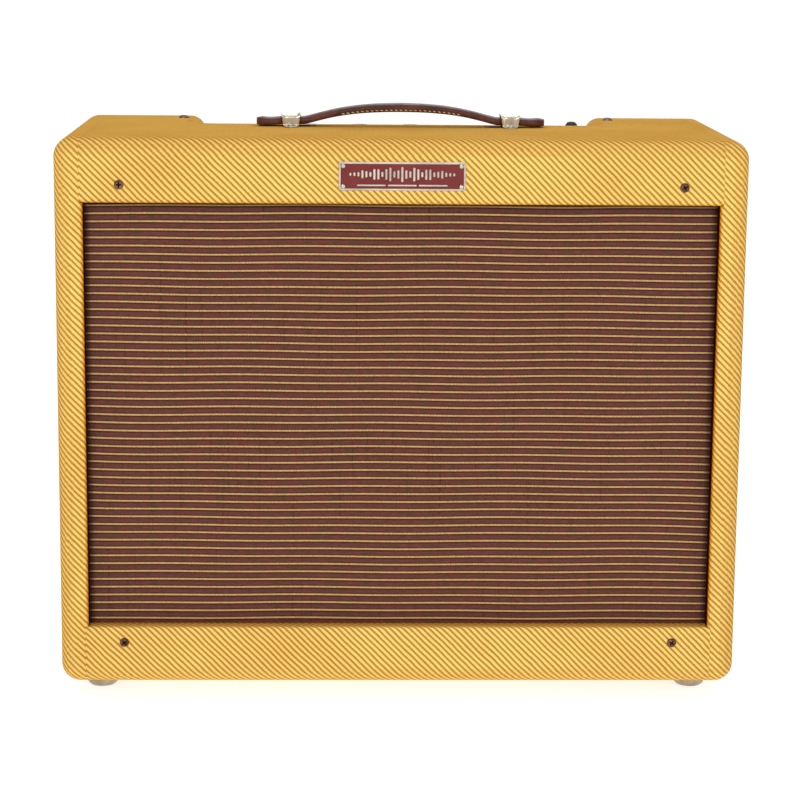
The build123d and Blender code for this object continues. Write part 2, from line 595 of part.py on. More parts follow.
def basket():
    """The pressed steel frame: rim, windowed cone, spider shelf and magnet plate, as one shell."""
    neck = RIM_Y - 0.9 + CONE_DEPTH
    shelf = neck + 7.0
    plate = neck + 21
    shell = turned_y([(139.0, RIM_Y), (RIM_R, RIM_Y), (RIM_R, RIM_Y + 1.5), (141.2, RIM_Y + 1.5),
                      (136.0, RIM_Y + 12), (58.0, shelf + 1.5), (54.0, shelf + 1.5), (54.0, plate),
                      (20.5, plate), (20.5, plate - 1.5), (52.5, plate - 1.5), (52.5, shelf + 1.5),
                      (45.0, shelf + 1.5), (45.0, shelf), (57.2, shelf), (134.6, RIM_Y + 11)])
    window = Pos(94, RIM_Y + 35, SPEAKER_Z) * Box(50, 80, 46)
    for i in range(BASKET_WINDOWS):
        turn = Pos(0, 0, SPEAKER_Z) * Rot(0, 360 / BASKET_WINDOWS * i, 0) * Pos(0, 0, -SPEAKER_Z)
        shell -= turn * window
    return shell


os.makedirs("parts", exist_ok=True)
cabinet_boards()
tweed_shell()
baffle_and_grille()
back_of_cabinet()
nameplate_and_feet()
handle()
chassis()
controls()
jacks()
switch_lamp_and_fuse()
circuit()
transformers()
valves()
speaker()
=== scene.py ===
import json
import math

import bpy
import bmesh
from mathutils import Matrix, Vector


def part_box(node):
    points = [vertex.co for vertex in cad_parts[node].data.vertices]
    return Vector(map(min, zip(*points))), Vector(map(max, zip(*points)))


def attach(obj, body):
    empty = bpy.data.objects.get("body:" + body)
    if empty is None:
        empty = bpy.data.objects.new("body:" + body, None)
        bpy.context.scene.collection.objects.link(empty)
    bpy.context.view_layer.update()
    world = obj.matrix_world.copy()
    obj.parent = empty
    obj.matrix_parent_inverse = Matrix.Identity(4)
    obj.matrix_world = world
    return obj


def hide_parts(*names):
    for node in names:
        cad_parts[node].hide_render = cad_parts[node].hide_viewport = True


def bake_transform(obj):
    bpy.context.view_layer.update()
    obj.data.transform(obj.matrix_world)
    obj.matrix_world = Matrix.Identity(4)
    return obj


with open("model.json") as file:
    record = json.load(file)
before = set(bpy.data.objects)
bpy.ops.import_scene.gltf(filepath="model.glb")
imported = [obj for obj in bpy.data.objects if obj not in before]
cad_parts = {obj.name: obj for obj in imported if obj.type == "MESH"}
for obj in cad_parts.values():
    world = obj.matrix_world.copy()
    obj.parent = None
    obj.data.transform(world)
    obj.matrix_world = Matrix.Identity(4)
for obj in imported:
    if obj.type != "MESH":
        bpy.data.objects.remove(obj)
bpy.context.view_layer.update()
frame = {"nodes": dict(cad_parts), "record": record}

# A tweed-covered valve combo amplifier. Lengths are in metres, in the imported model's frame:
# X right seen from the front, Y to the back, Z up, origin on the floor.

# ---- sizes taken from the frame ----
SHELL_LOW, SHELL_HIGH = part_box("tweed_shell_cover")
HALF = SHELL_HIGH.x
FRONT, BACK = SHELL_LOW.y, SHELL_HIGH.y
BASE, TOP = SHELL_LOW.z, SHELL_HIGH.z
INNER_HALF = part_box("bottom_panel")[1].x
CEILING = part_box("chassis")[1].z
CLOTH_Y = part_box("grille_cloth")[0].y
PANEL_TOP = CEILING
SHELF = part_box("chassis")[0].z

# ---- cabinet covering ----
CORNER_R = 0.0140        # long edges
EDGE_R = 0.0120          # front and back outlines, and round the control well
WALL = HALF - INNER_HALF
SEAM = 0.2350            # butt seam between the side wraps and the top, bottom and rails
SEAM_GROOVE = 0.00025
CLOTH_SHIFT = 0.0013     # the side wraps' ribs don't meet the rails' ribs at the seam
OPENING_HALF = 0.2324
OPENING_LOW = BASE + 0.0444
OPENING_HIGH = BASE + 0.3630
WELL_HALF = 0.1545
WELL_FRONT = 0.0373
WELL_CORNER_R = 0.0140
SUPPORT = 0.0006         # flat strip beside a rounding that keeps its shading crisp
FOLD = 0.0240            # tweed glued down inside the back edges
BEND_STEPS = 10
SCREW_X = 0.2060
SCREW_Z = (BASE + 0.0323, BASE + 0.3763)
DIMPLE_R, DIMPLE = 0.0050, 0.0010
BACK_SCREW_X = INNER_HALF - 0.0095
BACK_SCREW_IN = 0.018    # from a back panel's upper and lower edge

# ---- handle ----
HANDLE_X = 0.0014
HANDLE_Y = 0.0060
BRACKET_X = 0.0845
STRAP_HALF = 0.0105
STRAP_THICK = 0.0063
STRAP_END = 0.1112
STRAP_LOW = TOP + 0.0012
STRAP_RISE = 0.0101
STRAP_REACH = 0.0745

# ---- controls ----
CONTROL_Y = 0.0760
KNOB_X = {"mic_volume": -0.0705, "instrument_volume": -0.0295, "tone": 0.0110}
FIGURE_R = 0.0178
FIRST_TURN, LAST_TURN = -150, 150
TICK_R = (0.0138, 0.0156)
SPEAKER_Z = (OPENING_LOW + OPENING_HIGH) / 2


# ================= materials =================
def srgb(red, green, blue):
    """A linear colour from display values between 0 and 255."""
    def linear(value):
        value /= 255
        return value / 12.92 if value <= 0.04045 else ((value + 0.055) / 1.055) ** 2.4
    return (linear(red), linear(green), linear(blue), 1.0)


class Look:
    """One material, with short calls for building its node tree."""

    def __init__(self, name, **shader_values):
        self.name = name
        self.material = bpy.data.materials.new(name)
        self.material.use_nodes = True
        self.tree = self.material.node_tree
        self.shader = self.tree.nodes["Principled BSDF"]
        self.set(**shader_values)

    def set(self, **values):
        for key, value in values.items():
            self.put(self.shader.inputs[key.replace("_", " ").title().replace("Ior", "IOR")], value)
        return self

    def put(self, socket, value):
        if isinstance(value, bpy.types.NodeSocket):
            self.tree.links.new(value, socket)
        elif value is not None:
            socket.default_value = value

    def node(self, kind, **settings):
        made = self.tree.nodes.new("ShaderNode" + kind)
        for key, value in settings.items():
            setattr(made, key, value)
        return made

    def math(self, operation, *values, clamp=False):
        made = self.node("Math", operation=operation, use_clamp=clamp)
        for socket, value in zip(made.inputs, values):
            self.put(socket, value)
        return made.outputs[0]

    def times(self, first, second):
        return self.math("MULTIPLY", first, second)

    def plus(self, first, second):
        return self.math("ADD", first, second)

    def minus(self, first, second):
        return self.math("SUBTRACT", first, second)

    def most(self, first, second):
        return self.math("MAXIMUM", first, second)

    def least(self, first, second):
        return self.math("MINIMUM", first, second)

    def size(self, value):
        return self.math("ABSOLUTE", value)

    def sine(self, value):
        return self.math("SINE", value)

    def share(self, value):
        """The value held between 0 and 1."""
        return self.math("MULTIPLY", value, 1.0, clamp=True)

    def finish(self, tone, colours, gloss, rough, height=None, relief=0.0, strength=0.6):
        """Colour ramped over tone, roughness over gloss between 0.3 and 0.7, and a bump."""
        self.set(base_color=self.ramp(tone, *colours))
        self.set(roughness=self.ramp(gloss, (0.3, rough[0]), (0.7, rough[1])))
        if height is not None:
            self.bump(height, relief, strength)
        return self

    def place(self):
        """The point in the object's own coordinates, which are the model's."""
        return self.node("TexCoord").outputs["Object"]

    def cloth(self):
        """The point on the unrolled cloth, carried by the mesh: across, along, and a third value that on the
        tweed is edge wear above 0 and painted shade below 0, and on screw heads painted shade.
        """
        return self.node("Attribute", attribute_name="weave").outputs["Vector"]

    def split(self, vector):
        made = self.node("SeparateXYZ")
        self.put(made.inputs[0], vector)
        return made.outputs

    def stretch(self, vector, scale, turn=(0, 0, 0)):
        made = self.node("Mapping")
        self.put(made.inputs["Vector"], vector)
        made.inputs["Scale"].default_value = scale
        made.inputs["Rotation"].default_value = turn
        return made.outputs[0]

    def noise(self, vector, scale, detail=3.0, roughness=0.55, distortion=0.0):
        made = self.node("TexNoise")
        self.put(made.inputs["Vector"], vector)
        for key, value in (("Scale", scale), ("Detail", detail), ("Roughness", roughness),
                           ("Distortion", distortion)):
            made.inputs[key].default_value = value
        return made.outputs["Fac"]

    def cells(self, vector, scale, feature="F1"):
        made = self.node("TexVoronoi", feature=feature)
        self.put(made.inputs["Vector"], vector)
        made.inputs["Scale"].default_value = scale
        return made.outputs["Distance"]

    def ramp(self, factor, *stops):
        made = self.node("ValToRGB")
        self.put(made.inputs[0], factor)
        ramp = made.color_ramp
        while len(ramp.elements) < len(stops):
            ramp.elements.new(0.5)
        for element, (position, colour) in zip(ramp.elements, stops):
            element.position = position
            element.color = colour if hasattr(colour, "__len__") else (colour, colour, colour, 1)
        return made.outputs[0]

    def mix(self, factor, first, second, blend="MIX"):
        made = self.node("Mix", data_type="RGBA", blend_type=blend)
        self.put(made.inputs[0], factor)
        self.put(made.inputs[6], first)
        self.put(made.inputs[7], second)
        return made.outputs[2]

    def bump(self, height, distance, strength=1.0, under=None):
        made = self.node("Bump")
        made.inputs["Strength"].default_value = strength
        made.inputs["Distance"].default_value = distance
        self.put(made.inputs["Height"], height)
        self.put(made.inputs["Normal"], under)
        self.put(self.shader.inputs["Normal"], made.outputs[0])
        return made.outputs[0]


def grained(name, light, dark, rough=(0.4, 0.6), grain=(1, 1, 1), broad=30, fine=900, relief=0.0001,
            **shader):
    """A base finish: broad colour drift, fine grain in colour, gloss and relief."""
    look = Look(name, **shader)
    place = look.stretch(look.place(), grain)
    drift = look.noise(place, broad, 4)
    speck = look.noise(place, fine, 3, 0.65)
    tone = look.plus(look.times(drift, 0.65), look.times(speck, 0.35))
    return look.finish(tone, ((0.32, dark), (0.68, light)), speck, rough, speck, relief)


def tweed():
    """Lacquered cotton twill: diagonal ribs of pale and brown yarn, each rib a row of short floats."""
    pitch = 0.00348
    look = Look("tweed", specular_ior_level=0.0)
    cloth = look.cloth()
    drift = look.minus(look.noise(cloth, 38, 2), 0.5)
    across, along, wear_and_shade = look.split(cloth)
    rib = look.plus(look.times(look.plus(across, along), math.sqrt(0.5) / pitch),
                    look.times(drift, 0.55))
    wobble = look.minus(look.noise(cloth, 900, 2), 0.5)
    rib = look.plus(rib, look.times(wobble, 0.20))
    step = look.math("FLOOR", rib)
    run = look.times(look.minus(across, along), math.sqrt(0.5) / 0.00155)
    run = look.plus(run, look.times(step, 0.37))
    float_wave = look.size(look.sine(look.times(run, math.pi)))
    wave = look.math("MULTIPLY_ADD", look.math("COSINE", look.times(rib, 2 * math.pi)), 0.5, 0.5)
    yarn = look.math("MULTIPLY_ADD", float_wave, 0.30, look.times(wave, 0.80))
    yarn = look.plus(yarn, look.times(wobble, 0.30))
    hair = look.noise(look.stretch(cloth, (1, 3.2, 1), (0, 0, math.radians(45))), 1500, 2, 0.6)
    yarn = look.plus(yarn, look.times(look.minus(hair, 0.5), 0.42))
    colour = look.ramp(yarn, (0.14, srgb(158, 116, 40)), (0.40, srgb(196, 153, 66)),
                       (0.66, srgb(236, 192, 102)), (0.95, srgb(250, 212, 130)))
    stain = look.noise(cloth, 9, 4, 0.6)
    colour = look.mix(look.ramp(stain, (0.42, 0.0), (0.80, 0.30)), colour, srgb(214, 150, 60), "MULTIPLY")
    patchy = look.ramp(look.noise(cloth, 120, 4, 0.65), (0.38, 0.0), (0.70, 1.0))
    rub = look.times(look.most(wear_and_shade, 0.0), patchy)
    colour = look.mix(look.times(rub, 0.35), colour, srgb(196, 140, 62))
    facing = look.split(look.node("NewGeometry").outputs["Normal"])
    high_up = look.math("GREATER_THAN", look.split(look.place())[2], OPENING_HIGH)
    # painted shade: up-facing tweed above the opening is multiplied towards amber, darker and more saturated,
    # as the top is lit less than the front
    top_shade = look.times(look.ramp(facing[2], (0.70, 0.0), (0.97, 0.65)), high_up)
    colour = look.mix(top_shade, colour, srgb(246, 226, 186), "MULTIPLY")
    # painted shade: tweed facing sideways is multiplied darker orange, as the sides turn away from the light
    side_shade = look.ramp(look.size(facing[0]), (0.45, 0.0), (0.98, 0.30))
    colour = look.mix(side_shade, colour, srgb(242, 210, 166), "MULTIPLY")
    # painted shade: the negative part of the third weave value darkens the tweed to deep brown in the
    # opening's reveals and along its edges, where shade falls
    painted_shade = look.share(look.times(wear_and_shade, -1.0))
    shade_colour = look.ramp(painted_shade, (0.0, (1, 1, 1, 1)), (0.22, srgb(240, 204, 124)), (0.95, srgb(64, 18, 4)))
    look.set(base_color=look.mix(1.0, colour, shade_colour, "MULTIPLY"))
    look.set(roughness=look.ramp(yarn, (0.2, 0.66), (0.9, 0.46)))
    look.bump(yarn, 0.00022, 0.75)
    return look


def grille_weave():
    """Grille cloth: raised gold cords with oxblood and olive bands of ribbed yarn between them."""
    look = Look("grille_cloth", specular_ior_level=0.08)
    cloth = look.cloth()
    across, along, row = look.split(cloth)
    phase = look.math("FRACT", row)
    near = look.least(phase, look.minus(1.0, phase))
    warp = look.noise(look.stretch(cloth, (0.14, 1, 0)), 1300, 3, 0.7)
    cross = look.size(look.sine(look.times(across, math.pi / 0.00118)))
    ribs = look.size(look.sine(look.times(along, math.pi / 0.00078)))
    knit = look.math("MULTIPLY_ADD", ribs, 0.30, look.times(warp, 0.75))
    knit = look.math("MULTIPLY_ADD", cross, 0.16, knit)
    patches = look.noise(look.stretch(cloth, (1, 2.8, 0)), 95, 5, 0.75)
    plum = look.ramp(knit, (0.30, srgb(58, 26, 22)), (0.85, srgb(118, 66, 64)))
    umber = look.ramp(knit, (0.30, srgb(46, 30, 22)), (0.85, srgb(98, 70, 54)))
    bands = look.mix(look.ramp(patches, (0.46, 0.0), (0.60, 0.95)), plum, umber)
    slub = look.noise(look.stretch(cloth, (1, 0.02, 0)), 420, 2, 0.6)
    bands = look.mix(look.ramp(slub, (0.60, 0.0), (0.72, 0.45)), bands, srgb(52, 24, 20))
    # painted shade: darker bands in the hollows on both sides of each raised cord
    above = look.ramp(phase, (0.10, 0.85), (0.30, 0.0))
    below = look.ramp(phase, (0.62, 0.0), (0.84, 1.0))
    bands = look.mix(look.most(above, below), bands, srgb(62, 27, 12))
    twist = look.noise(look.stretch(cloth, (1, 0.3, 0), (0, 0, 0.6)), 1700, 2)
    gold = look.ramp(twist, (0.30, srgb(164, 124, 70)), (0.55, srgb(198, 158, 104)),
                     (0.75, srgb(220, 182, 132)))
    colour = look.mix(look.ramp(near, (0.095, 1.0), (0.125, 0.0)), bands, gold)
    # painted shadow: the cloth darkens nearly to black within about 4.5 mm of the opening's sides and top,
    # where the frame shades it
    gap = look.minus(OPENING_HALF, look.size(across))
    gap = look.least(gap, look.minus(OPENING_HIGH, along))
    colour = look.mix(look.ramp(look.times(gap, 100), (0.05, 0.75), (0.45, 0.0)), colour, srgb(30, 10, 6))
    look.set(base_color=colour, roughness=look.ramp(knit, (0.2, 0.9), (0.9, 0.7)))
    look.bump(knit, 0.00025, 0.8)
    return look


def wood(name, along, light, dark):
    """Sawn softwood with grain along one axis, darker late-wood bands and fine pores."""
    look = Look(name, specular_ior_level=0.3)
    squeeze = {"X": (0.06, 1, 1), "Z": (1, 1, 0.06)}[along]
    place = look.stretch(look.place(), squeeze)
    warp = look.noise(place, 14, 3, 0.5, 0.6)
    rings = look.size(look.sine(look.times(warp, 60)))
    pores = look.noise(look.stretch(look.place(), squeeze), 1100, 3, 0.7)
    tone = look.math("MULTIPLY_ADD", rings, 0.65, look.times(pores, 0.4))
    return look.finish(tone, ((0.2, light), (0.75, dark)), pores, (0.55, 0.75), tone, 0.0002, 0.5)


def plywood():
    """Birch ply: a quiet face veneer, and edges that show the crossed layers."""
    look = Look("birch_ply", specular_ior_level=0.3)
    place = look.place()
    depth = look.split(place)[1]
    figure = look.noise(look.stretch(place, (0.15, 1, 1)), 40, 4, 0.6, 0.5)
    pores = look.noise(look.stretch(place, (0.1, 1, 1)), 1300, 3, 0.7)
    tone = look.math("MULTIPLY_ADD", figure, 0.7, look.times(pores, 0.3))
    face = look.ramp(tone, (0.3, srgb(196, 160, 112)), (0.7, srgb(226, 196, 150)))
    layer = look.math("GREATER_THAN", look.math("FRACT", look.times(depth, 1 / 0.0032)), 0.5)
    edge = look.mix(layer, srgb(214, 180, 132), srgb(150, 108, 66))
    facing = look.size(look.split(look.node("NewGeometry").outputs["True Normal"])[1])
    look.set(base_color=look.mix(look.math("GREATER_THAN", facing, 0.7), edge, face))
    look.set(roughness=look.ramp(pores, (0.3, 0.5), (0.7, 0.7)))
    look.bump(tone, 0.00015, 0.4)
    return look


def leather():
    """Oiled strap leather: creased grain, darker pores and lighter rubbed high spots."""
    look = Look("leather", specular_ior_level=0.28)
    place = look.place()
    grain = look.cells(place, 700)
    crease = look.noise(look.stretch(place, (0.5, 1.4, 1)), 160, 5, 0.6, 0.8)
    height = look.math("MULTIPLY_ADD", grain, 0.5, crease)
    tone = look.math("MULTIPLY_ADD", grain, 0.25, look.noise(place, 45, 4, 0.6))
    browns = ((0.32, srgb(38, 16, 10)), (0.60, srgb(74, 36, 26)), (0.85, srgb(104, 56, 40)))
    return look.finish(tone, browns, crease, (0.36, 0.58), height, 0.00025)


def polished(name, colour, rough, scratch=0.05, tint=None):
    """Plated metal with fine scratches, a little clouding and painted shade in screw recesses."""
    look = Look(name, metallic=1.0)
    place = look.place()
    haze = look.noise(place, 60, 4, 0.6)
    lines = look.noise(look.stretch(place, (1, 30, 6)), 60, 3, 0.7)
    dirt = look.noise(place, 420, 4, 0.7)
    shade = tint or tuple(channel * 0.78 for channel in colour[:3]) + (1.0,)
    # painted shade: the third weave value darkens a screw head nearly to black in its cross recess, round its
    # rim and on its seat
    recess = look.split(look.cloth())[2]
    black = tuple(channel * 0.10 for channel in shade[:3]) + (1.0,)
    look.set(base_color=look.mix(look.share(look.times(recess, 0.9)), look.ramp(
        haze, (0.35, shade), (0.65, colour)), black))
    gloss = look.math("MULTIPLY_ADD", lines, scratch, look.times(dirt, scratch))
    look.set(roughness=look.share(look.plus(gloss, rough - scratch / 2)))
    look.bump(dirt, 0.00002, 0.4)
    return look


def cone_paper():
    """Pressed grey-black paper with fibres and faint concentric ribs."""
    look = Look("cone_paper", specular_ior_level=0.2)
    place = look.place()
    x, _, z = look.split(place)
    radius = look.math("SQRT", look.plus(look.times(x, x),
                                         look.math("POWER", look.minus(z, SPEAKER_Z), 2.0)))
    rings = look.sine(look.times(radius, 2 * math.pi / 0.006))
    fibre = look.noise(place, 700, 5, 0.7)
    look.set(base_color=look.ramp(fibre, (0.3, srgb(26, 24, 22)), (0.75, srgb(62, 57, 50))), roughness=0.9)
    look.bump(look.math("MULTIPLY_ADD", rings, 0.3, fibre), 0.0004, 0.6)
    return look


def ringed(name, light, dark, period):
    """A turned or corrugated part with fine rings, such as a spider or a coil of wire."""
    look = Look(name, specular_ior_level=0.35)
    place = look.place()
    rings = look.sine(look.times(look.split(place)[1], 2 * math.pi / period))
    speck = look.noise(place, 800, 3, 0.6)
    tone = look.math("MULTIPLY_ADD", rings, 0.25, look.math("MULTIPLY_ADD", speck, 0.6, 0.2))
    return look.finish(tone, ((0.2, dark), (0.8, light)), speck, (0.45, 0.7), tone, 0.0003, 0.5)


def glass():
    """Thin valve glass with a slightly smoky tint and faint streaks."""
    look = Look("valve_glass", ior=1.47, transmission_weight=1.0, metallic=0.0)
    streak = look.noise(look.stretch(look.place(), (1, 1, 0.15)), 90, 3)
    smoky = ((0.3, srgb(226, 230, 228)), (0.7, srgb(246, 248, 247)))
    return look.finish(streak, smoky, streak, (0.02, 0.06))


def jewel():
    """Faceted red lamp lens."""
    look = Look("red_jewel", ior=1.5, transmission_weight=0.55, coat_weight=0.6, coat_roughness=0.05)
    depth = look.noise(look.place(), 260, 3)
    return look.finish(depth, ((0.3, srgb(150, 8, 10)), (0.7, srgb(222, 26, 24))), depth, (0.05, 0.14))


def enamel():
    """Maroon enamel field, slightly clouded, with a clear coat."""
    return grained("plate_enamel", srgb(126, 50, 46), srgb(106, 38, 36), (0.30, 0.45), broad=70, fine=1600,
                   relief=0.00003, specular_ior_level=0.2)


def glide_finish():
    """Nickelled glides gone dull and yellow."""
    look = Look("glide_nickel", metallic=0.85)
    place = look.place()
    speck = look.noise(place, 500, 4, 0.7)
    haze = look.noise(place, 90, 3, 0.6)
    dull = ((0.3, srgb(146, 132, 108)), (0.7, srgb(186, 174, 154)))
    return look.finish(haze, dull, speck, (0.26, 0.46), speck, 0.00005, 0.5)


def materials(*looks):
    """The materials of these looks by their names."""
    return {look.name: look.material for look in looks}


# every finish by its material slot
LOOKS = materials(
    tweed(), grille_weave(), leather(), cone_paper(), plywood(), glass(), jewel(), enamel(),
    wood("pine", "X", srgb(222, 182, 124), srgb(176, 124, 70)),
    polished("bronzed_steel", srgb(142, 108, 92), 0.34, 0.16, srgb(84, 54, 44)),
    polished("nickel", srgb(222, 214, 200), 0.24, 0.08, srgb(186, 176, 160)),
    polished("chromed_steel", srgb(226, 228, 230), 0.12, 0.05, srgb(206, 208, 211)),
    polished("zinc_steel", srgb(186, 186, 180), 0.42, 0.22),
    polished("aluminium", srgb(196, 198, 200), 0.34, 0.20),
    polished("magnet_steel", srgb(136, 138, 142), 0.38, 0.18),
    grained("black_plastic", srgb(34, 34, 35), srgb(18, 18, 19), (0.32, 0.5)),
    grained("knob_phenolic", srgb(40, 32, 28), srgb(20, 16, 14), (0.16, 0.34),
            coat_weight=0.3, coat_roughness=0.15),
    grained("phenolic", srgb(92, 52, 30), srgb(58, 30, 18), (0.24, 0.44)),
    grained("rubber", srgb(44, 43, 42), srgb(24, 24, 24), (0.6, 0.85)),
    grained("fibre_board", srgb(58, 50, 42), srgb(32, 28, 25), (0.5, 0.75), (0.2, 1, 1)),
    grained("capacitor_sleeve", srgb(196, 190, 172), srgb(164, 156, 138), (0.35, 0.55)),
    grained("component_body", srgb(196, 132, 60), srgb(146, 88, 38), (0.3, 0.5), broad=240),
    grained("black_paint", srgb(40, 40, 42), srgb(20, 20, 21), (0.3, 0.55), relief=0.0003,
            specular_ior_level=0.5),
    grained("basket_paint", srgb(98, 102, 108), srgb(66, 70, 76), (0.34, 0.5)),
    grained("gasket_board", srgb(96, 84, 66), srgb(58, 50, 40), (0.8, 0.95)),
    ringed("transformer_core", srgb(92, 88, 84), srgb(44, 42, 40), 0.0011),
    ringed("coil_former", srgb(196, 112, 60), srgb(120, 60, 28), 0.0006),
    ringed("spider_cloth", srgb(204, 160, 84), srgb(150, 106, 46), 0.0009),
)

# finishes that only the added pieces use
EXTRA = materials(
    wood("pine_upright", "Z", srgb(222, 182, 124), srgb(176, 124, 70)),
    grained("stitch", srgb(226, 196, 138), srgb(186, 148, 92), (0.6, 0.8), fine=2600, relief=0.0002),
    grained("ink", srgb(30, 30, 32), srgb(14, 14, 15), (0.35, 0.55)),
    grained("cream", srgb(238, 230, 206), srgb(216, 204, 174), (0.3, 0.5)),
    grained("valve_plate", srgb(78, 78, 80), srgb(48, 48, 50), (0.5, 0.7), metallic=0.6),
    grained("mica", srgb(222, 216, 200), srgb(190, 184, 168), (0.2, 0.4)),
    glide_finish(),
)


# ================= mesh helpers =================
class Patch:
    """A mesh being built from points that each know their place on the unrolled cloth."""

    def __init__(self):
        self.points, self.cloth, self.faces = [], [], []

    def add(self, point, cloth=(0.0, 0.0, 0.0)):
        self.points.append(tuple(point))
        self.cloth.append(tuple(cloth))
        return len(self.points) - 1

    def ring(self, points):
        return [self.add(point) for point in points]

    def grid(self, rows, closed=False):
        for near, far in zip(rows, rows[1:]):
            count = len(near)
            for i in range(count if closed else count - 1):
                j = (i + 1) % count
                self.faces.append((near[i], near[j], far[j], far[i]))

    def build(self, name, material, merge=2e-6, smooth=True):
        mesh = bpy.data.meshes.new(name)
        mesh.from_pydata(self.points, [], self.faces)
        weave = mesh.attributes.new("weave", "FLOAT_VECTOR", "POINT")
        weave.data.foreach_set("vector", [value for cloth in self.cloth for value in cloth])
        work = bmesh.new()
        work.from_mesh(mesh)
        bmesh.ops.remove_doubles(work, verts=work.verts, dist=merge)
        bmesh.ops.dissolve_degenerate(work, edges=work.edges, dist=merge)
        bmesh.ops.recalc_face_normals(work, faces=work.faces)
        work.to_mesh(mesh)
        work.free()
        mesh.polygons.foreach_set("use_smooth", [smooth] * len(mesh.polygons))
        mesh.materials.append(material)
        return in_scene(name, mesh)


def in_scene(name, data):
    """A new object of this data, linked into the scene."""
    made = bpy.data.objects.new(name, data)
    bpy.context.scene.collection.objects.link(made)
    return made


def spread(start, end, count):
    """count + 1 even values from start to end."""
    return [start + (end - start) * i / count for i in range(count + 1)]


def circle(count):
    """(cosine, sine) of count even angles round a circle."""
    angles = [2 * math.pi * i / count for i in range(count)]
    return [(math.cos(angle), math.sin(angle)) for angle in angles]


def loft(name, rings, material, closed=True, ends=(), smooth=True):
    """A skin through rings of points; ends names the rings, 0 and -1, that get a flat face."""
    patch = Patch()
    rows = [patch.ring(points) for points in rings]
    patch.grid(rows, closed)
    patch.faces += [tuple(rows[end]) for end in ends]
    return patch.build(name, material, smooth=smooth)


def face_outward(piece, outside):
    """Flip the piece if its faces near the given point don't look towards it."""
    mesh = piece.data
    nearest = min(mesh.polygons, key=lambda face: (face.center - Vector(outside)).length)
    if (Vector(outside) - nearest.center).dot(nearest.normal) < 0:
        mesh.flip_normals()
    return piece


def finish_piece(piece, body, replaces=()):
    """Attach the piece to its body's empty, and hide the CAD nodes it stands for."""
    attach(piece, body)
    if replaces:
        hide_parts(*replaces)
    return piece


def joined(name, pieces):
    """Join several mesh objects into one."""
    first = pieces[0]
    work = bmesh.new()
    for piece in pieces:
        work.from_mesh(piece.data)
    merged = bpy.data.meshes.new(name)
    work.to_mesh(merged)
    work.free()
    for material in first.data.materials:
        merged.materials.append(material)
    for piece in pieces:
        bpy.data.objects.remove(piece)
    return in_scene(name, merged)


def lathe(name, outline, centre, axis, material, segments=48):
    """A turned piece from (radius, height) points about an axis through centre."""
    turn = Vector((0, 0, 1)).rotation_difference(Vector(axis)).to_matrix().to_4x4()
    place = Matrix.Translation(Vector(centre)) @ turn
    rings = [[place @ Vector((radius * c, radius * s, height)) for c, s in circle(segments)]
             for radius, height in outline]
    return loft(name, rings, material)


def screw_head(name, centre, axis, radius, height, material, turn=0.4, seat=0.0003):
    """A raised screw head with a cross recess, as a disc of rings pressed into a dome."""
    up = Vector(axis).normalized()
    side = up.orthogonal().normalized()
    other = up.cross(side)
    rings, segments = 14, 48
    slot_half, slot_long, slot_deep = radius * 0.17, radius * 0.66, height * 0.95
    patch = Patch()
    rows = []
    for ring in range(rings + 1):
        share = ring / rings
        row = []
        for i in range(segments):
            angle = 2 * math.pi * i / segments
            a, b = share * math.cos(angle + turn), share * math.sin(angle + turn)
            across, along = abs(a) * radius, abs(b) * radius
            low, high = min(across, along), max(across, along)
            inside = min(max((slot_half - low) / (slot_half * 0.35), 0), 1) * min(
                max((slot_long - high) / (slot_long * 0.2), 0), 1)
            lift = height * (1 - share ** 2.4) - slot_deep * inside
            lateral = side * (radius * share * math.cos(angle)) + other * (radius * share * math.sin(angle))
            # painted shade marks for the metal finish: the third weave value holds the cross recess, 0.7 on
            # the two outer rings, and 1 on the seat ring added below
            rim = 0.7 if ring >= rings - 1 else 0.0
            row.append(patch.add(Vector(centre) + lateral + up * lift, (0.0, 0.0, max(inside, rim))))
        rows.append(row)
    rows.append([patch.add(Vector(patch.points[i]) - up * seat, (0.0, 0.0, 1.0)) for i in rows[-1]])
    patch.grid(rows, closed=True)
    return patch.build(name, material)


# ================= the tweed covering =================
def arc(start, end, steps=BEND_STEPS):
    return spread(start, end, steps)


def wear_at(inset):
    """How much a rounded edge is rubbed: most in the middle of the bend."""
    share = min(max(inset / EDGE_R, 0), 1)
    return 4 * share * (1 - share)


def edge_stations():
    """From the front face round over the depth to the inside of the back edge.

    Each is (inset, y, outward share sideways, outward share along Y, distance on the cloth).
    """
    rows = [(EDGE_R + SUPPORT, FRONT, 0.0, -1.0)]
    for a in arc(0, math.pi / 2):
        c, s = math.cos(a), math.sin(a)
        rows.append((EDGE_R * (1 - s), FRONT + EDGE_R * (1 - c), s, -c))
    for y in spread(FRONT + EDGE_R + SUPPORT, BACK - EDGE_R - SUPPORT, 6):
        rows.append((0.0, y, 1.0, 0.0))
    for a in arc(0, math.pi / 2):
        c, s = math.cos(a), math.sin(a)
        rows.append((EDGE_R * (1 - c), BACK - EDGE_R * (1 - s), c, s))
    inner = WALL
    rows += [(EDGE_R + SUPPORT, BACK, 0.0, 1.0), (inner - 0.0012, BACK, 0.0, 1.0),
             (inner - 0.0004, BACK - 0.0004, -0.7, 0.7), (inner, BACK - 0.0012, -1.0, 0.0),
             (inner + 0.0003, BACK - 0.0030, -1.0, 0.0), (inner + 0.0003, BACK - FOLD, -1.0, 0.0)]
    walked, placed = 0.0, []
    for i, row in enumerate(rows):
        if i:
            walked += math.hypot(row[0] - rows[i - 1][0], row[1] - rows[i - 1][1])
        placed.append((*row, walked))
    return placed


def outline_point(centre, normal, inset, corner):
    """A point of the cabinet's XZ outline moved in by inset, mitred once the corner's radius is used up."""
    if corner and inset > CORNER_R:
        shift = inset - CORNER_R
        x = centre[0] - math.copysign(shift, normal[0] or 1)
        z = centre[1] - math.copysign(shift, normal[1] or 1)
    else:
        x = centre[0] + normal[0] * (CORNER_R - inset)
        z = centre[1] + normal[1] * (CORNER_R - inset)
    limit = HALF - inset
    return min(max(x, -limit), limit), min(max(z, BASE + inset), TOP - inset)


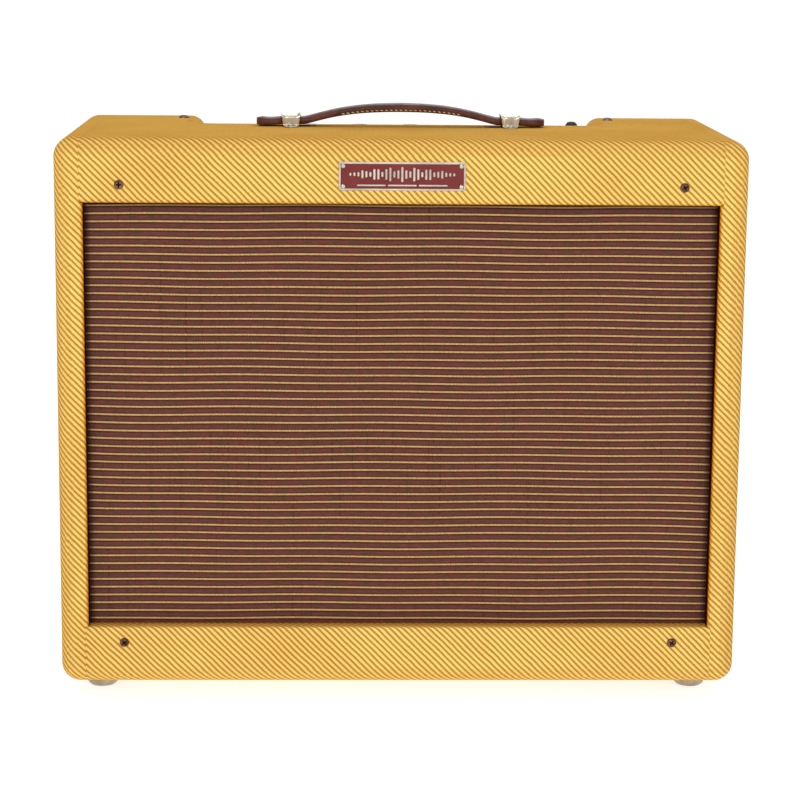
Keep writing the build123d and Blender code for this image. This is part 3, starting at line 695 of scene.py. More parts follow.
def side_outline():
    """(centre, normal, groove, corner, perimeter part, share) from the top seam down to the bottom seam."""
    corner_x = HALF - CORNER_R
    high, low = TOP - CORNER_R, BASE + CORNER_R
    samples = [((SEAM, high), (0, 1), SEAM_GROOVE, False, "top", corner_x - SEAM)]
    for x in spread(SEAM + 0.0003, corner_x - 0.0006, 3):
        samples.append(((x, high), (0, 1), 0.0, False, "top", corner_x - x))
    for a in arc(math.pi / 2, 0):
        samples.append(((corner_x, high), (math.cos(a), math.sin(a)), 0.0, True, "high", a))
    for z in spread(high - 0.0006, low + 0.0006, 26):
        samples.append(((corner_x, z), (1, 0), 0.0, False, "side", z))
    for a in arc(0, -math.pi / 2):
        samples.append(((corner_x, low), (math.cos(a), math.sin(a)), 0.0, True, "low", a))
    for x in spread(corner_x - 0.0006, SEAM + 0.0003, 3):
        samples.append(((x, low), (0, -1), 0.0, False, "bottom", corner_x - x))
    samples.append(((SEAM, low), (0, -1), SEAM_GROOVE, False, "bottom", corner_x - SEAM))
    return samples


def perimeter_length(part, share, inset):
    """Distance round the side's outline, measured like Z along the straight side."""
    high, low = TOP - CORNER_R, BASE + CORNER_R
    radius = max(CORNER_R - inset, 0.0)
    quarter = radius * math.pi / 2
    return {"top": high + quarter + share, "high": high + radius * share, "side": share,
            "low": low + radius * share, "bottom": low - quarter - share}[part]


def reveal_steps(dark):
    """(lift, y, painted shade) from an opening's edge back to the grille; the shade is painted deep on the
    stiles and under the upper rail, and only faintly on the lower ledge near the cloth.
    """
    # painted shade at each step, deepest next to the grille cloth
    painted_shades = (0.35, 0.75, 0.97, 1.0) if dark else (0.0, 0.0, 0.05, 0.28)
    lifts = (0.00035, 0.0, 0.0, 0.0)
    depths = (FRONT + 0.00035, FRONT + 0.0012, FRONT + 0.0040, CLOTH_Y - 0.0002)
    return list(zip(lifts, depths, painted_shades))


def side_wrap(name, sign):
    """One side's tweed: front stile, round both long edges, over the depth and into the back."""
    patch = Patch()
    stations = edge_stations()
    start = HALF - EDGE_R - SUPPORT
    rows = []
    for inset, y, outward, along_y, walked in stations:
        row = []
        for centre, normal, groove, corner, part, share in side_outline():
            x, z = outline_point(centre, normal, inset, corner)
            x -= normal[0] * outward * groove
            z -= normal[1] * outward * groove
            depth = y - along_y * groove
            if y <= FRONT + EDGE_R + 1e-9:
                reach = CORNER_R - EDGE_R - SUPPORT + walked
                cloth = (centre[0] + normal[0] * reach, centre[1] + normal[1] * reach)
            else:
                cloth = (start + walked, perimeter_length(part, share, inset))
            across = sign * cloth[0] + CLOTH_SHIFT
            row.append(patch.add((sign * x, depth, z), (across, cloth[1], wear_at(inset))))
        rows.append(row)
    patch.grid(rows)

    def point(x, z, painted_shade=0.0):
        return patch.add((sign * x, FRONT, z), (sign * x + CLOTH_SHIFT, z, -painted_shade))

    levels = spread(OPENING_LOW, OPENING_HIGH, 24)
    stile = [point(OPENING_HALF + 0.0025, z) for z in levels]
    # painted shade: a light tint on the lip beside the opening, deepening to dark brown on the reveal rows
    # behind it
    lip = [point(OPENING_HALF + 0.0012, z, painted_shade=0.16) for z in levels]
    flat_seam_low = [rows[0][-2], point(SEAM + 0.0003, OPENING_LOW)]
    flat_seam_high = [point(SEAM + 0.0003, OPENING_HIGH), rows[0][1]]
    outer = rows[0][1:-1]
    patch.faces.append(tuple([*outer, flat_seam_low[1], *stile, flat_seam_high[0]]))
    for top, bottom in ((flat_seam_high[1], flat_seam_high[0]), (flat_seam_low[1], flat_seam_low[0])):
        groove = []
        for index in (top, bottom):
            z = patch.points[index][2]
            across = sign * SEAM + CLOTH_SHIFT
            groove.append(patch.add((sign * SEAM, FRONT + SEAM_GROOVE, z), (across, z, 0.0)))
        patch.faces.append((top, bottom, groove[1], groove[0]))
    reveal = [stile, lip]
    for lift, y, painted_shade in reveal_steps(dark=True):
        across = sign * (OPENING_HALF - y + FRONT) + CLOTH_SHIFT
        reveal.append([patch.add((sign * (OPENING_HALF + lift), y, z), (across, z, -painted_shade)) for z in levels])
    patch.grid(reveal)
    piece = patch.build(name, LOOKS["tweed"])
    return face_outward(piece, (sign * (HALF + 0.3), 0, (TOP + BASE) / 2))


def columns():
    """X places across a rail: both seams with their grooves, close together near the screws."""
    near = spread(-0.0105, 0.0105, 14)
    xs = {round(side * SCREW_X + offset, 6) for side in (-1, 1) for offset in near}
    xs |= {round(x, 6) for x in spread(-0.190, 0.190, 20)} | {-0.2255, 0.2255}
    inner = sorted(xs)
    return [-SEAM, -SEAM + 0.0003, *inner, SEAM - 0.0003, SEAM]


def dimple(x, z):
    """How far the cloth is pulled in round the baffle screws."""
    return sum(DIMPLE * math.exp(-((math.hypot(x - side * SCREW_X, z - level) / DIMPLE_R) ** 2))
               for side in (-1, 1) for level in SCREW_Z)


def groove_at(x):
    """The depth of the butt seam's groove at x."""
    return SEAM_GROOVE if abs(abs(x) - SEAM) < 1e-9 else 0.0


def rail(patch, edge_z, outer_z, rows_count):
    """The flat front of a rail with its turned edge and reveal, from the outer row to the grille."""
    step = 1 if outer_z > edge_z else -1
    rows = []
    for z in spread(outer_z, edge_z + step * 0.0012, rows_count):
        row = []
        for x in columns():
            # painted shade: a faint band on the upper rail's last row above the opening
            painted_shade = 0.07 if step > 0 and abs(z - edge_z) < 0.0013 else 0.0
            row.append(patch.add((x, FRONT + dimple(x, z) + groove_at(x), z), (x, z, -painted_shade)))
        rows.append(row)
    for lift, y, painted_shade in reveal_steps(dark=step > 0):
        along = edge_z - step * (y - FRONT)
        rows.append([patch.add((x, y, edge_z + step * lift), (x, along, -painted_shade)) for x in columns()])
    patch.grid(rows)
    return rows[0]


def over_edge(patch, first, side, stations):
    """Rows from a rail's outer row over the long edge; side is 1 for the top and -1 for the bottom."""
    rows = [first]
    outer = TOP if side > 0 else BASE
    start = outer - side * (EDGE_R + SUPPORT)
    for inset, y, outward, along_y, walked in stations[1:]:
        row = []
        for x in columns():
            groove = groove_at(x)
            limit = HALF - inset
            held = min(max(x, -limit), limit)
            z = outer - side * (inset + outward * groove)
            row.append(patch.add((held, y - along_y * groove, z), (x, start + side * walked, wear_at(inset))))
        rows.append(row)
    patch.grid(rows)
    return rows[-1]


def bottom_wrap():
    """Lower rail and underside in one cloth."""
    patch = Patch()
    first = rail(patch, OPENING_LOW, BASE + EDGE_R + SUPPORT, 20)
    over_edge(patch, first, -1, edge_stations())
    piece = patch.build("tweed_bottom", LOOKS["tweed"])
    return face_outward(piece, (0, 0, -0.4))


def well_path():
    """Points of the back edge and the control well's rim, seen from above, left to right.

    Each is (point, outward normal, convex corner centre or None, groove).
    """
    r = EDGE_R
    corner = (-WELL_HALF - r, BACK - r)
    inner = (-WELL_HALF + WELL_CORNER_R, WELL_FRONT + WELL_CORNER_R)
    path = [((-SEAM, BACK), (0, 1), None, SEAM_GROOVE), ((-SEAM + 0.0003, BACK), (0, 1), None, 0.0)]
    path += [((x, BACK), (0, 1), None, 0.0) for x in spread(-SEAM + 0.012, corner[0] - SUPPORT, 4)]
    for a in arc(math.pi / 2, 0):
        n = (math.cos(a), math.sin(a))
        path.append(((corner[0] + r * n[0], corner[1] + r * n[1]), n, corner, 0.0))
    path += [((-WELL_HALF, y), (1, 0), None, 0.0) for y in spread(corner[1] - SUPPORT, inner[1] + SUPPORT, 4)]
    for a in arc(math.pi, math.pi * 1.5):
        n = (-math.cos(a), -math.sin(a))
        path.append(((inner[0] - WELL_CORNER_R * n[0], inner[1] - WELL_CORNER_R * n[1]), n, None, 0.0))
    left = path
    middle = [((x, WELL_FRONT), (0, 1), None, 0.0)
              for x in spread(inner[0] + SUPPORT, -inner[0] - SUPPORT, 16)]
    right = [((-p[0], p[1]), (-n[0], n[1]), (-c[0], c[1]) if c else None, g) for p, n, c, g in reversed(left)]
    return left + middle + right


def rim_point(point, normal, centre, inset):
    """The rim's path moved into the top board by inset."""
    if centre and inset > EDGE_R:
        shift = inset - EDGE_R
        return centre[0] - math.copysign(shift, -centre[0]), centre[1] - shift
    return point[0] - normal[0] * inset, point[1] - normal[1] * inset


def top_wrap():
    """Upper rail, top and control well rim in one cloth."""
    patch = Patch()
    stations = edge_stations()
    turned_over = [row for row in stations if row[1] <= FRONT + EDGE_R + SUPPORT + 1e-9]
    first = rail(patch, OPENING_HIGH, TOP - EDGE_R - SUPPORT, 20)
    front_row = over_edge(patch, first, 1, turned_over)
    at_front = TOP - EDGE_R - SUPPORT + turned_over[-1][4]

    def along(y):
        return at_front + y - turned_over[-1][1]

    profile = [(EDGE_R + SUPPORT, TOP, 0.0, 1.0)]
    for a in arc(0, math.pi / 2):
        c, s = math.cos(a), math.sin(a)
        profile.append((EDGE_R * (1 - s), TOP - EDGE_R * (1 - c), s, c))
    profile += [(0.0, TOP - EDGE_R - SUPPORT, 1.0, 0.0), (0.0, CEILING + 0.0012, 1.0, 0.0),
                (0.00035, CEILING + 0.00045, 0.7, -0.7), (0.0012, CEILING + 0.0001, 0.0, -1.0)]
    rows, walked = [], 0.0
    for i, (inset, z, outward, upward) in enumerate(profile):
        if i:
            walked += math.hypot(inset - profile[i - 1][0], z - profile[i - 1][1])
        row = []
        for point, normal, centre, groove in well_path():
            x, y = rim_point(point, normal, centre, inset)
            x -= normal[0] * outward * groove
            y -= normal[1] * outward * groove
            bx, by = rim_point(point, normal, centre, EDGE_R + SUPPORT)
            cloth = (bx + normal[0] * walked, along(by) + normal[1] * walked, wear_at(inset))
            row.append(patch.add((x, y, z - upward * groove), cloth))
        rows.append(row)
    patch.grid(rows)
    rim = rows[0]
    patch.faces.append(tuple([*front_row[1:-1], *reversed(rim[1:-1])]))
    patch.faces.append((front_row[0], front_row[1], rim[1], rim[0]))
    patch.faces.append((front_row[-2], front_row[-1], rim[-1], rim[-2]))
    piece = patch.build("tweed_top", LOOKS["tweed"])
    return face_outward(piece, (0, 0, TOP + 0.4))


def back_cover(name, low, high, offset):
    """Tweed over one back panel, turned round its edges and pulled in under the screw cups."""
    grow, radius = 0.0008, 0.0018
    x0, x1, z0, z1 = low.x - grow, high.x + grow, low.z - grow, high.z + grow
    face, inner = high.y + grow, low.y
    screw_zs = (low.z + BACK_SCREW_IN, high.z - BACK_SCREW_IN)

    def lines(start, end, centres):
        bend = [(start, inner - face), (start, -radius), (start + radius * 0.13, -radius * 0.5),
                (start + radius * 0.5, -radius * 0.13), (start + radius, 0.0)]
        other = [(start + end - value, drop) for value, drop in reversed(bend)]
        marks = {round(v, 6) for v in spread(start + 0.004, end - 0.004, 14)}
        marks |= {round(c + o, 6) for c in centres for o in spread(-0.009, 0.009, 10)}
        inside = [(v, 0.0) for v in sorted(marks) if start + radius + 0.0004 < v < end - radius - 0.0004]
        return bend + inside + other

    patch = Patch()
    rows = []
    for z, drop_z in lines(z0, z1, screw_zs):
        row = []
        for x, drop_x in lines(x0, x1, (-BACK_SCREW_X, BACK_SCREW_X)):
            pull = sum(0.0011 * math.exp(-((math.hypot(x - side * BACK_SCREW_X, z - level) / 0.0075) ** 2))
                       for side in (-1, 1) for level in screw_zs)
            drop = min(drop_x, drop_z)
            spill = (math.copysign(-drop_x, x), math.copysign(-drop_z, z - (z0 + z1) / 2))
            cloth = (-x - spill[0] + offset, z + spill[1], 0.6 if -radius <= drop < 0 else 0.0)
            row.append(patch.add((x, face + drop - (pull if drop == 0.0 else 0.0), z), cloth))
        rows.append(row)
    patch.grid(rows)
    piece = patch.build(name, LOOKS["tweed"])
    return face_outward(piece, (0, BACK + 1, (z0 + z1) / 2))


def cover_cabinet():
    """All six tweed pieces, which replace the CAD covers."""
    pieces = [side_wrap("tweed_side_left", -1), side_wrap("tweed_side_right", 1), top_wrap(), bottom_wrap()]
    sizes = [(0.300, 0.450), (0.300, 0.450), (0.470, 0.320), (0.470, 0.370)]
    areas = [None, None, 0.125, None]
    rests = [["side_panels"], ["side_panels"], ["top_panel", "front_rails"], ["bottom_panel", "front_rails"]]
    for piece, flat, area, rest in zip(pieces, sizes, areas, rests):
        finish_piece(piece, "cabinet", ("tweed_shell_cover",))
    for name, node, offset in (("tweed_back_upper", "upper_back_panel", 0.0),
                               ("tweed_back_lower", "lower_back_panel", 0.0021)):
        low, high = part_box(node)
        piece = back_cover(name, low, high, offset)
        finish_piece(piece, "cabinet", ("tweed_back_covers",))
        flat = (high.x - low.x + 0.018, high.z - low.z + 0.018)


# ================= the grille =================
def grille():
    """The stretched cloth with its raised gold cords."""
    low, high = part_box("grille_cloth")
    pitch = 0.00601
    cord_half, cord_rise = 0.00074, 0.00050
    profile = [(-cord_half, 0.0), (-cord_half * 0.7, cord_rise * 0.7), (0.0, cord_rise),
               (cord_half * 0.7, cord_rise * 0.7), (cord_half, 0.0), (0.0012, -0.00012),
               (pitch * 0.5, 0.00008), (pitch - 0.0012, -0.00012)]
    across = spread(low.x, high.x, 72)

    def sway(x, z):
        """The cloth's threads aren't quite straight, and lift a little towards the sides."""
        edge = (abs(x) / high.x) ** 8
        return (0.00030 * math.sin(19 * x + 41 * z) + 0.00022 * math.sin(53 * x - 23 * z + 1.0)
                - 0.00075 * edge * math.copysign(1, x) * math.sin(9 * z))

    patch = Patch()
    rows = []
    first = (OPENING_LOW - low.z) % pitch + low.z - 0.0023
    count = int((high.z - first) / pitch)
    for line in range(count + 1):
        for offset, rise in profile:
            z = first + line * pitch + offset
            if not low.z <= z <= high.z:
                continue
            number = line + offset / pitch
            row = []
            for x in across:
                moved = min(max(z + sway(x, z), low.z), high.z)
                row.append(patch.add((x, CLOTH_Y + 0.0004 - rise, moved), (x, moved, number + 50)))
            rows.append(row)
    patch.grid(rows)
    piece = patch.build("grille_weave", LOOKS["grille_cloth"])
    face_outward(piece, (0, FRONT - 1, SPEAKER_Z))
    finish_piece(piece, "cabinet", ("grille_cloth",))


# ================= the handle =================
def strap_low(x):
    """Underside of the strap: flat in the brackets, arched between them."""
    share = min((x / STRAP_REACH) ** 2, 1.0)
    past = max(0.0, abs(x) - BRACKET_X - 0.006) / (STRAP_END - BRACKET_X - 0.006)
    return STRAP_LOW + STRAP_RISE * (1 - share) ** 1.3 * (1 + 0.6 * share) - 0.0008 * min(2.5 * past, 1.0)


def strap_section(x):
    """(half width, half thickness, centre height) of the strap at x."""
    centre = strap_low(x) + STRAP_THICK / 2
    tip = max(0.0, (abs(x) - (STRAP_END - 0.0085)) / 0.0085)
    round_off = math.sqrt(max(1 - tip ** 2, 0.0))
    waist = 0.0008 * math.exp(-((abs(x) - BRACKET_X) / 0.007) ** 2)
    fuller = 0.5 * (1 + math.cos(math.pi * min(abs(x) / 0.070, 1.0)))
    half_width = (STRAP_HALF - 0.0009 + 0.0007 * fuller - waist) * (0.30 + 0.70 * round_off)
    knob = 0.00045 * math.exp(-((abs(x) - (STRAP_END - 0.0045)) / 0.0030) ** 2)
    half_thick = (STRAP_THICK / 2 - 0.0005 + 0.0004 * fuller + knob) * (0.80 + 0.20 * round_off)
    return half_width, half_thick, centre


def strap_half(name, side):
    """Half of the leather strap, a rounded band with a crowned top."""
    reach = [0.0, *spread(0.002, STRAP_END - 0.009, 46), *spread(STRAP_END - 0.0085, STRAP_END, 12)]
    rings = []
    for x in reach:
        half_width, half_thick, centre = strap_section(x)
        ring = []
        for c, s in circle(28):
            y = half_width * math.copysign(abs(c) ** 0.45, c)
            z = half_thick * math.copysign(abs(s) ** 0.55, s)
            crown = 0.0006 * (1 - (y / half_width) ** 2) if s > 0 else 0.0
            ring.append((HANDLE_X + side * x, HANDLE_Y + y, centre + z + crown))
        rings.append(ring)
    piece = loft(name, rings, LOOKS["leather"], ends=(-1,))
    return face_outward(piece, (side * 0.05, HANDLE_Y, TOP + 0.5))


def stitches():
    """Waxed thread along both edges of the grip."""
    pitch, half_long, thick, count = 0.0037, 0.00125, 0.00044, 12
    threads = []
    for index in range(-count, count + 1):
        x = index * pitch
        half_width, half_thick, centre = strap_section(x)
        slope = (strap_low(x + 0.001) - strap_low(x - 0.001)) / 0.002
        for side in (-1, 1):
            y = HANDLE_Y + side * (half_width + 0.00005)
            rings = []
            for step in spread(-1, 1, 6):
                swell = thick * math.sqrt(max(1 - step ** 2, 0.02))
                sx = HANDLE_X + x + step * half_long
                sz = centre - half_thick * 0.42 + slope * step * half_long + 0.0002 * side * step
                rings.append([(sx, y + swell * c, sz + swell * s) for c, s in circle(8)])
            threads.append(loft(f"stitch_{index + count}_{side}", rings, EXTRA["stitch"], ends=(0, -1)))
    return joined("handle_stitches", threads)


def bracket(name, x):
    """A nickel saddle pressed from strip: round feet, bent walls and a lid with rolled lips."""
    wall, thick = STRAP_HALF + 0.0010, 0.0011
    foot_long = 0.0056
    foot_end = wall + 0.0036 + foot_long
    lid = TOP + 0.0087
    low = TOP + thick / 2
    bend = 0.0014
    path = [(foot_end, low)]
    for y in spread(foot_end - 0.0012, wall + bend, 8):
        path.append((y, low))
    path += [(wall + bend * (1 - math.sin(a)), low + bend * (1 - math.cos(a)))
             for a in arc(0.2, math.pi / 2, 5)]
    path += [(wall, z) for z in spread(low + bend + 0.0006, lid - bend - 0.0006, 4)]
    path += [(wall - bend * (1 - math.cos(a)), lid - bend * (1 - math.sin(a)))
             for a in arc(0, math.pi / 2, 6)]
    path += [(wall - bend - (wall - bend) * step / 5, lid) for step in range(1, 6)]
    mirrored = [(-y, z) for y, z in reversed(path[:-1])]
    rows = []
    for y, z in path + mirrored:
        foot = max(0.0, (abs(y) - (foot_end - foot_long)) / foot_long)
        height_share = min(max((z - low) / (lid - low), 0), 1)
        if abs(y) > wall + bend:
            half = foot_long * math.sqrt(max(1 - foot ** 2, 0.03))
        else:
            half = 0.0060 + 0.0014 * height_share
        row = []
        for share in spread(-1, 1, 14):
            lip = 0.0011 * max(0.0, (abs(share) - 0.72) / 0.28) ** 2 * max(0.0, height_share - 0.8) / 0.2
            groove = 0.00035 * math.exp(-((abs(share) - 0.60) / 0.08) ** 2) * height_share
            bulge = -0.0003 * height_share * (1 - share ** 2)
            outward = math.copysign(1, y) * (lip * 0.6 - groove) if height_share < 0.98 else 0.0
            raised = (lip - groove + bulge) * height_share
            row.append((x + half * share, HANDLE_Y + y + outward, z + raised))
        rows.append(row)
    piece = face_outward(loft(name, rows, LOOKS["nickel"], closed=False), (x, HANDLE_Y, TOP + 0.5))
    solid = piece.modifiers.new("thickness", "SOLIDIFY")
    solid.thickness = thick
    solid.offset = 0.0
    smooth = piece.modifiers.new("smooth", "SUBSURF")
    smooth.levels = smooth.render_levels = 1
    return piece


def handle_pads():
    """The thin leather keepers that show under the strap just inside each bracket."""
    pads = []
    for side in (-1, 1):
        rings = []
        for share in spread(0, 1, 14):
            x = HANDLE_X + side * (BRACKET_X + 0.004 - 0.0235 * share)
            tip = max(0.0, (share - 0.6) / 0.4)
            half = 0.0080 * math.sqrt(max(1 - tip ** 2, 0.02))
            z = TOP + 0.00032 + 0.0003 * share ** 2
            rings.append([(x, HANDLE_Y + half * c, z + 0.00022 * s) for c, s in circle(12)])
        pads.append(loft(f"handle_pad_{side}", rings, LOOKS["leather"], ends=(0, -1)))
    return joined("handle_pads", pads)


def build_handle():
    """Strap, stitching, brackets, their screws and the pads."""
    left = strap_half("handle_strap_left", -1)
    right = strap_half("handle_strap_right", 1)
    for piece, side, node in ((left, -1, "handle_end_left"), (right, 1, "handle_end_right")):
        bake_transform(piece)
        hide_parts(node, "handle_grip")
    finish_piece(stitches(), "handle_grip")
    finish_piece(handle_pads(), "cabinet")
    places = (HANDLE_X - BRACKET_X, HANDLE_X + BRACKET_X)
    brackets = joined("handle_saddles", [evaluated(bracket(f"bracket_{i}", x)) for i, x in enumerate(places)])
    finish_piece(brackets, "cabinet", ("handle_brackets",))
    heads = []
    for i, x in enumerate(places):
        for j, side in enumerate((-1, 1)):
            y = HANDLE_Y + side * (STRAP_HALF + 0.0052)
            heads.append(screw_head(f"head_{i}_{j}", (x, y, TOP + 0.0012), (0, 0, 1), 0.0032, 0.0019,
                                    LOOKS["nickel"], turn=0.3 + i + 2 * j))
    finish_piece(joined("handle_screw_heads", heads), "cabinet", ("handle_bracket_screws",))


def evaluated(piece):
    """A copy of the piece with its modifiers applied."""
    graph = bpy.context.evaluated_depsgraph_get()
    mesh = bpy.data.meshes.new_from_object(piece.evaluated_get(graph))
    made = in_scene(piece.name + "_flat", mesh)
    bpy.data.objects.remove(piece)
    return made


# ================= nameplate, screws and feet =================
def rounded_outline(half_w, half_h, radius, steps=6):
    """Points round a rectangle with rounded corners."""
    points = []
    for sx, sz, start in ((1, 1, 0), (-1, 1, 90), (-1, -1, 180), (1, -1, 270)):
        for a in arc(math.radians(start), math.radians(start + 90), steps):
            points.append((sx * (half_w - radius) + radius * math.cos(a),
                           sz * (half_h - radius) + radius * math.sin(a)))
    return points


def plate_layer(name, centre, half_w, half_h, radius, levels, material):
    """A flat badge layer: rings of (inset, proud) closed by a flat face."""
    rings = []
    for inset, proud in levels:
        outline = rounded_outline(half_w - inset, half_h - inset, max(radius - inset, 0.0002))
        rings.append([(centre[0] + x, FRONT - proud, centre[1] + z) for x, z in outline])
    piece = loft(name, rings, material, ends=(-1,), smooth=False)
    return face_outward(piece, (centre[0], FRONT - 1, centre[1]))


def raised_bar(name, x, z, half_w, half_h, low, high, material):
    """A small raised rounded bar on the plate."""
    ring = [(0.0, low), (0.0, high - 0.00008), (0.00008, high)]
    return plate_layer(name, (x, z), half_w, half_h, min(half_w, half_h) * 0.98, ring, material)


def nameplate():
    """Silver plate with a maroon field, a plain line ornament and domed pins; it bears no name."""
    low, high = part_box("nameplate")
    centre = ((low.x + high.x) / 2, (low.z + high.z) / 2)
    half_w, half_h = (high.x - low.x) / 2, (high.z - low.z) / 2
    thick = FRONT - low.y
    rim = plate_layer("nameplate_rim", centre, half_w, half_h, 0.0015,
                      [(0.0, 0.0), (0.0, thick - 0.0002), (0.0002, thick), (0.0014, thick),
                       (0.0016, thick - 0.0004), (0.0020, thick - 0.0004)], LOOKS["nickel"])
    finish_piece(rim, "cabinet", ("nameplate",))
    field = plate_layer("nameplate_field", centre, half_w - 0.0016, half_h - 0.0016, 0.0008,
                        [(0.0, thick - 0.0006), (0.0, thick - 0.00028), (0.00015, thick - 0.0002)],
                        LOOKS["plate_enamel"])
    finish_piece(field, "cabinet")
    bars = []
    count = 13
    for i in range(-count, count + 1):
        share = abs(i) / count
        height = 0.0011 + 0.0044 * (1 - share ** 2) * (0.60 + 0.40 * math.cos(i * 1.9))
        bars.append(raised_bar(f"bar_{i + count}", centre[0] + i * 0.0029, centre[1] + 0.0014, 0.00075,
                               height, thick - 0.0003, thick + 0.00015, LOOKS["nickel"]))
    for i in (-1, 0, 1):
        bars.append(raised_bar(f"line_{i + 1}", centre[0] + i * 0.0225, centre[1] - 0.0066, 0.0105, 0.00055,
                               thick - 0.0003, thick + 0.0001, LOOKS["nickel"]))
    finish_piece(joined("nameplate_ornament", bars), "cabinet")
    pins = []
    for i, x in enumerate((-0.0430, 0.0430)):
        for j, z in enumerate((-0.0074, 0.0074)):
            outline = [(0.0017, -0.0002), (0.0017, 0.0001), (0.00155, 0.0005), (0.0011, 0.00082),
                       (0.0005, 0.00095), (0.0, 0.00097)]
            place = (centre[0] + x, FRONT - thick, centre[1] + z)
            pins.append(lathe(f"pin_{i}{j}", outline, place, (0, -1, 0), LOOKS["nickel"], 24))
    finish_piece(joined("nameplate_pin_heads", pins), "cabinet", ("nameplate_pins",))


def cabinet_screws():
    """Bronzed heads in the rails, and bronzed heads in cup washers at the back."""
    heads = [screw_head(f"front_{i}_{j}", (x, FRONT + 0.0002, z), (0, -1, 0), 0.0034, 0.0014,
                        LOOKS["bronzed_steel"], turn=0.2 + 1.1 * i + 0.6 * j, seat=0.0008)
             for i, x in enumerate((-SCREW_X, SCREW_X)) for j, z in enumerate(SCREW_Z)]
    finish_piece(joined("baffle_screw_heads", heads), "cabinet", ("baffle_screws",))
    cups, heads = [], []
    for node in ("upper_back_panel", "lower_back_panel"):
        low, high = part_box(node)
        for i, x in enumerate((-BACK_SCREW_X, BACK_SCREW_X)):
            for j, z in enumerate((low.z + BACK_SCREW_IN, high.z - BACK_SCREW_IN)):
                y = high.y + 0.0008
                outline = [(0.0066, -0.0010), (0.0066, 0.0002), (0.0060, 0.0008), (0.0048, 0.0013),
                           (0.0041, 0.0013), (0.0037, 0.0008), (0.0036, -0.0006)]
                cups.append(lathe(f"cup_{node}_{i}{j}", outline, (x, y, z), (0, 1, 0), LOOKS["nickel"], 36))
                heads.append(screw_head(f"back_{node}_{i}{j}", (x, y + 0.0003, z), (0, 1, 0), 0.0036, 0.0013,
                                        LOOKS["bronzed_steel"], turn=i + 2.2 * j, seat=0.0010))
    finish_piece(joined("back_screw_cups", cups), "cabinet", ("back_panel_screws",))
    finish_piece(joined("back_screw_heads", heads), "cabinet")


def feet():
    """Four domed glides with a rolled edge, each held by a nail through its middle."""
    low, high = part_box("glide_feet")
    radius = 0.0127
    outline = [(0.0, 0.0), (0.0066, 0.0), (0.0096, 0.0009), (0.0114, 0.0026), (0.0123, 0.0052),
               (0.0126, 0.0080), (radius, 0.0104), (radius, 0.0124), (0.0122, 0.0134), (0.0114, 0.0137),
               (0.0114, 0.0150)]
    glides = [lathe(f"glide_{i}{j}", outline, (x, y, 0.0), (0, 0, 1), EXTRA["glide_nickel"], 64)
              for i, x in enumerate((low.x + radius, high.x - radius))
              for j, y in enumerate((low.y + radius, high.y - radius))]
    finish_piece(joined("domed_glides", glides), "cabinet", ("glide_feet",))


# ================= controls =================
def text_mesh(name, body, size, place, material):
    """Flat raised figures lying on the panel, read from the back."""
    curve = bpy.data.curves.new(name, "FONT")
    curve.body = body
    curve.size = size
    curve.align_x = "CENTER"
    curve.align_y = "CENTER"
    curve.extrude = 0.00006
    drawn = in_scene(name, curve)
    graph = bpy.context.evaluated_depsgraph_get()
    bpy.context.view_layer.update()
    mesh = bpy.data.meshes.new_from_object(drawn.evaluated_get(graph))
    mesh.transform(Matrix.Translation(Vector(place)) @ Matrix.Rotation(math.pi, 4, "Z"))
    bpy.data.objects.remove(drawn)
    mesh.materials.clear()
    mesh.materials.append(material)
    return in_scene(name, mesh)


def dial_marks():
    """Figures 1 to 12 and ticks round each knob, printed on the panel."""
    marks = []
    z = PANEL_TOP + 0.00006
    for knob, x in KNOB_X.items():
        for number in range(1, 13):
            turn = math.radians(FIRST_TURN + (LAST_TURN - FIRST_TURN) * (number - 1) / 11)
            dx, dy = math.sin(turn), -math.cos(turn)
            marks.append(text_mesh(f"figure_{knob}_{number}", str(number), 0.0034,
                                   (x + dx * FIGURE_R, CONTROL_Y + dy * FIGURE_R, z), EXTRA["ink"]))
            patch = Patch()
            side = Vector((dy, -dx, 0)) * 0.00016
            for near in TICK_R:
                middle = Vector((x + dx * near, CONTROL_Y + dy * near, z + 0.00006))
                patch.add(middle - side)
                patch.add(middle + side)
            patch.faces.append((0, 1, 3, 2))
            tick = patch.build(f"tick_{knob}_{number}", EXTRA["ink"])
            marks.append(face_outward(tick, (x, CONTROL_Y, 1.0)))
    return joined("dial_marks", marks)


def pointer_knob(name, x):
    """A moulded pointer knob: fluted skirt, domed hub and a tapering ridge with a cream line."""
    low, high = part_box(f"{name}_knob")

    def outline(share):
        """The plan of the knob at a share of its height: a hub drawn out to a point at the front."""
        points = []
        hub = 0.0096 - 0.0016 * share
        reach = -(CONTROL_Y - low.y) + 0.0010 * share
        half = 0.0060 - 0.0030 * share
        for i, (cx, cy) in enumerate(circle(96)):
            radius = hub * (0.78 if share > 0.22 else 1.0)
            if cy < 0:
                toward = max(0.0, -cy) ** 6
                tip_x = half * cx * 0.9
                px = radius * cx * (1 - toward) + tip_x * toward * 0.35
                py = radius * cy * (1 - toward) + reach * toward
            else:
                px, py = radius * cx, radius * cy
            flute = 1 + 0.018 * math.cos(24 * math.tau * i / 96) * (share < 0.2)
            points.append((px * flute, py * flute))
        return points

    rings = []
    levels = [(0.0, 0.0), (0.0, 0.02), (0.18, 0.20), (0.24, 0.24), (0.5, 0.5), (0.8, 0.86), (0.95, 0.97)]
    for share, height in levels:
        z = low.z + (high.z - low.z) * height
        rings.append([(x + px, CONTROL_Y + py, z) for px, py in outline(share)])
    for shrink, height in ((0.90, 0.995), (0.6, 1.0)):
        z = low.z + (high.z - low.z) * height
        lengthways = (0.5 + 0.5 * shrink) * shrink ** 0.2
        rings.append([(x + px * shrink, CONTROL_Y + py * lengthways, z) for px, py in outline(0.95)])
    piece = loft(f"{name}_pointer", rings, LOOKS["knob_phenolic"], ends=(-1,))
    return face_outward(piece, (x, CONTROL_Y, 1.0))


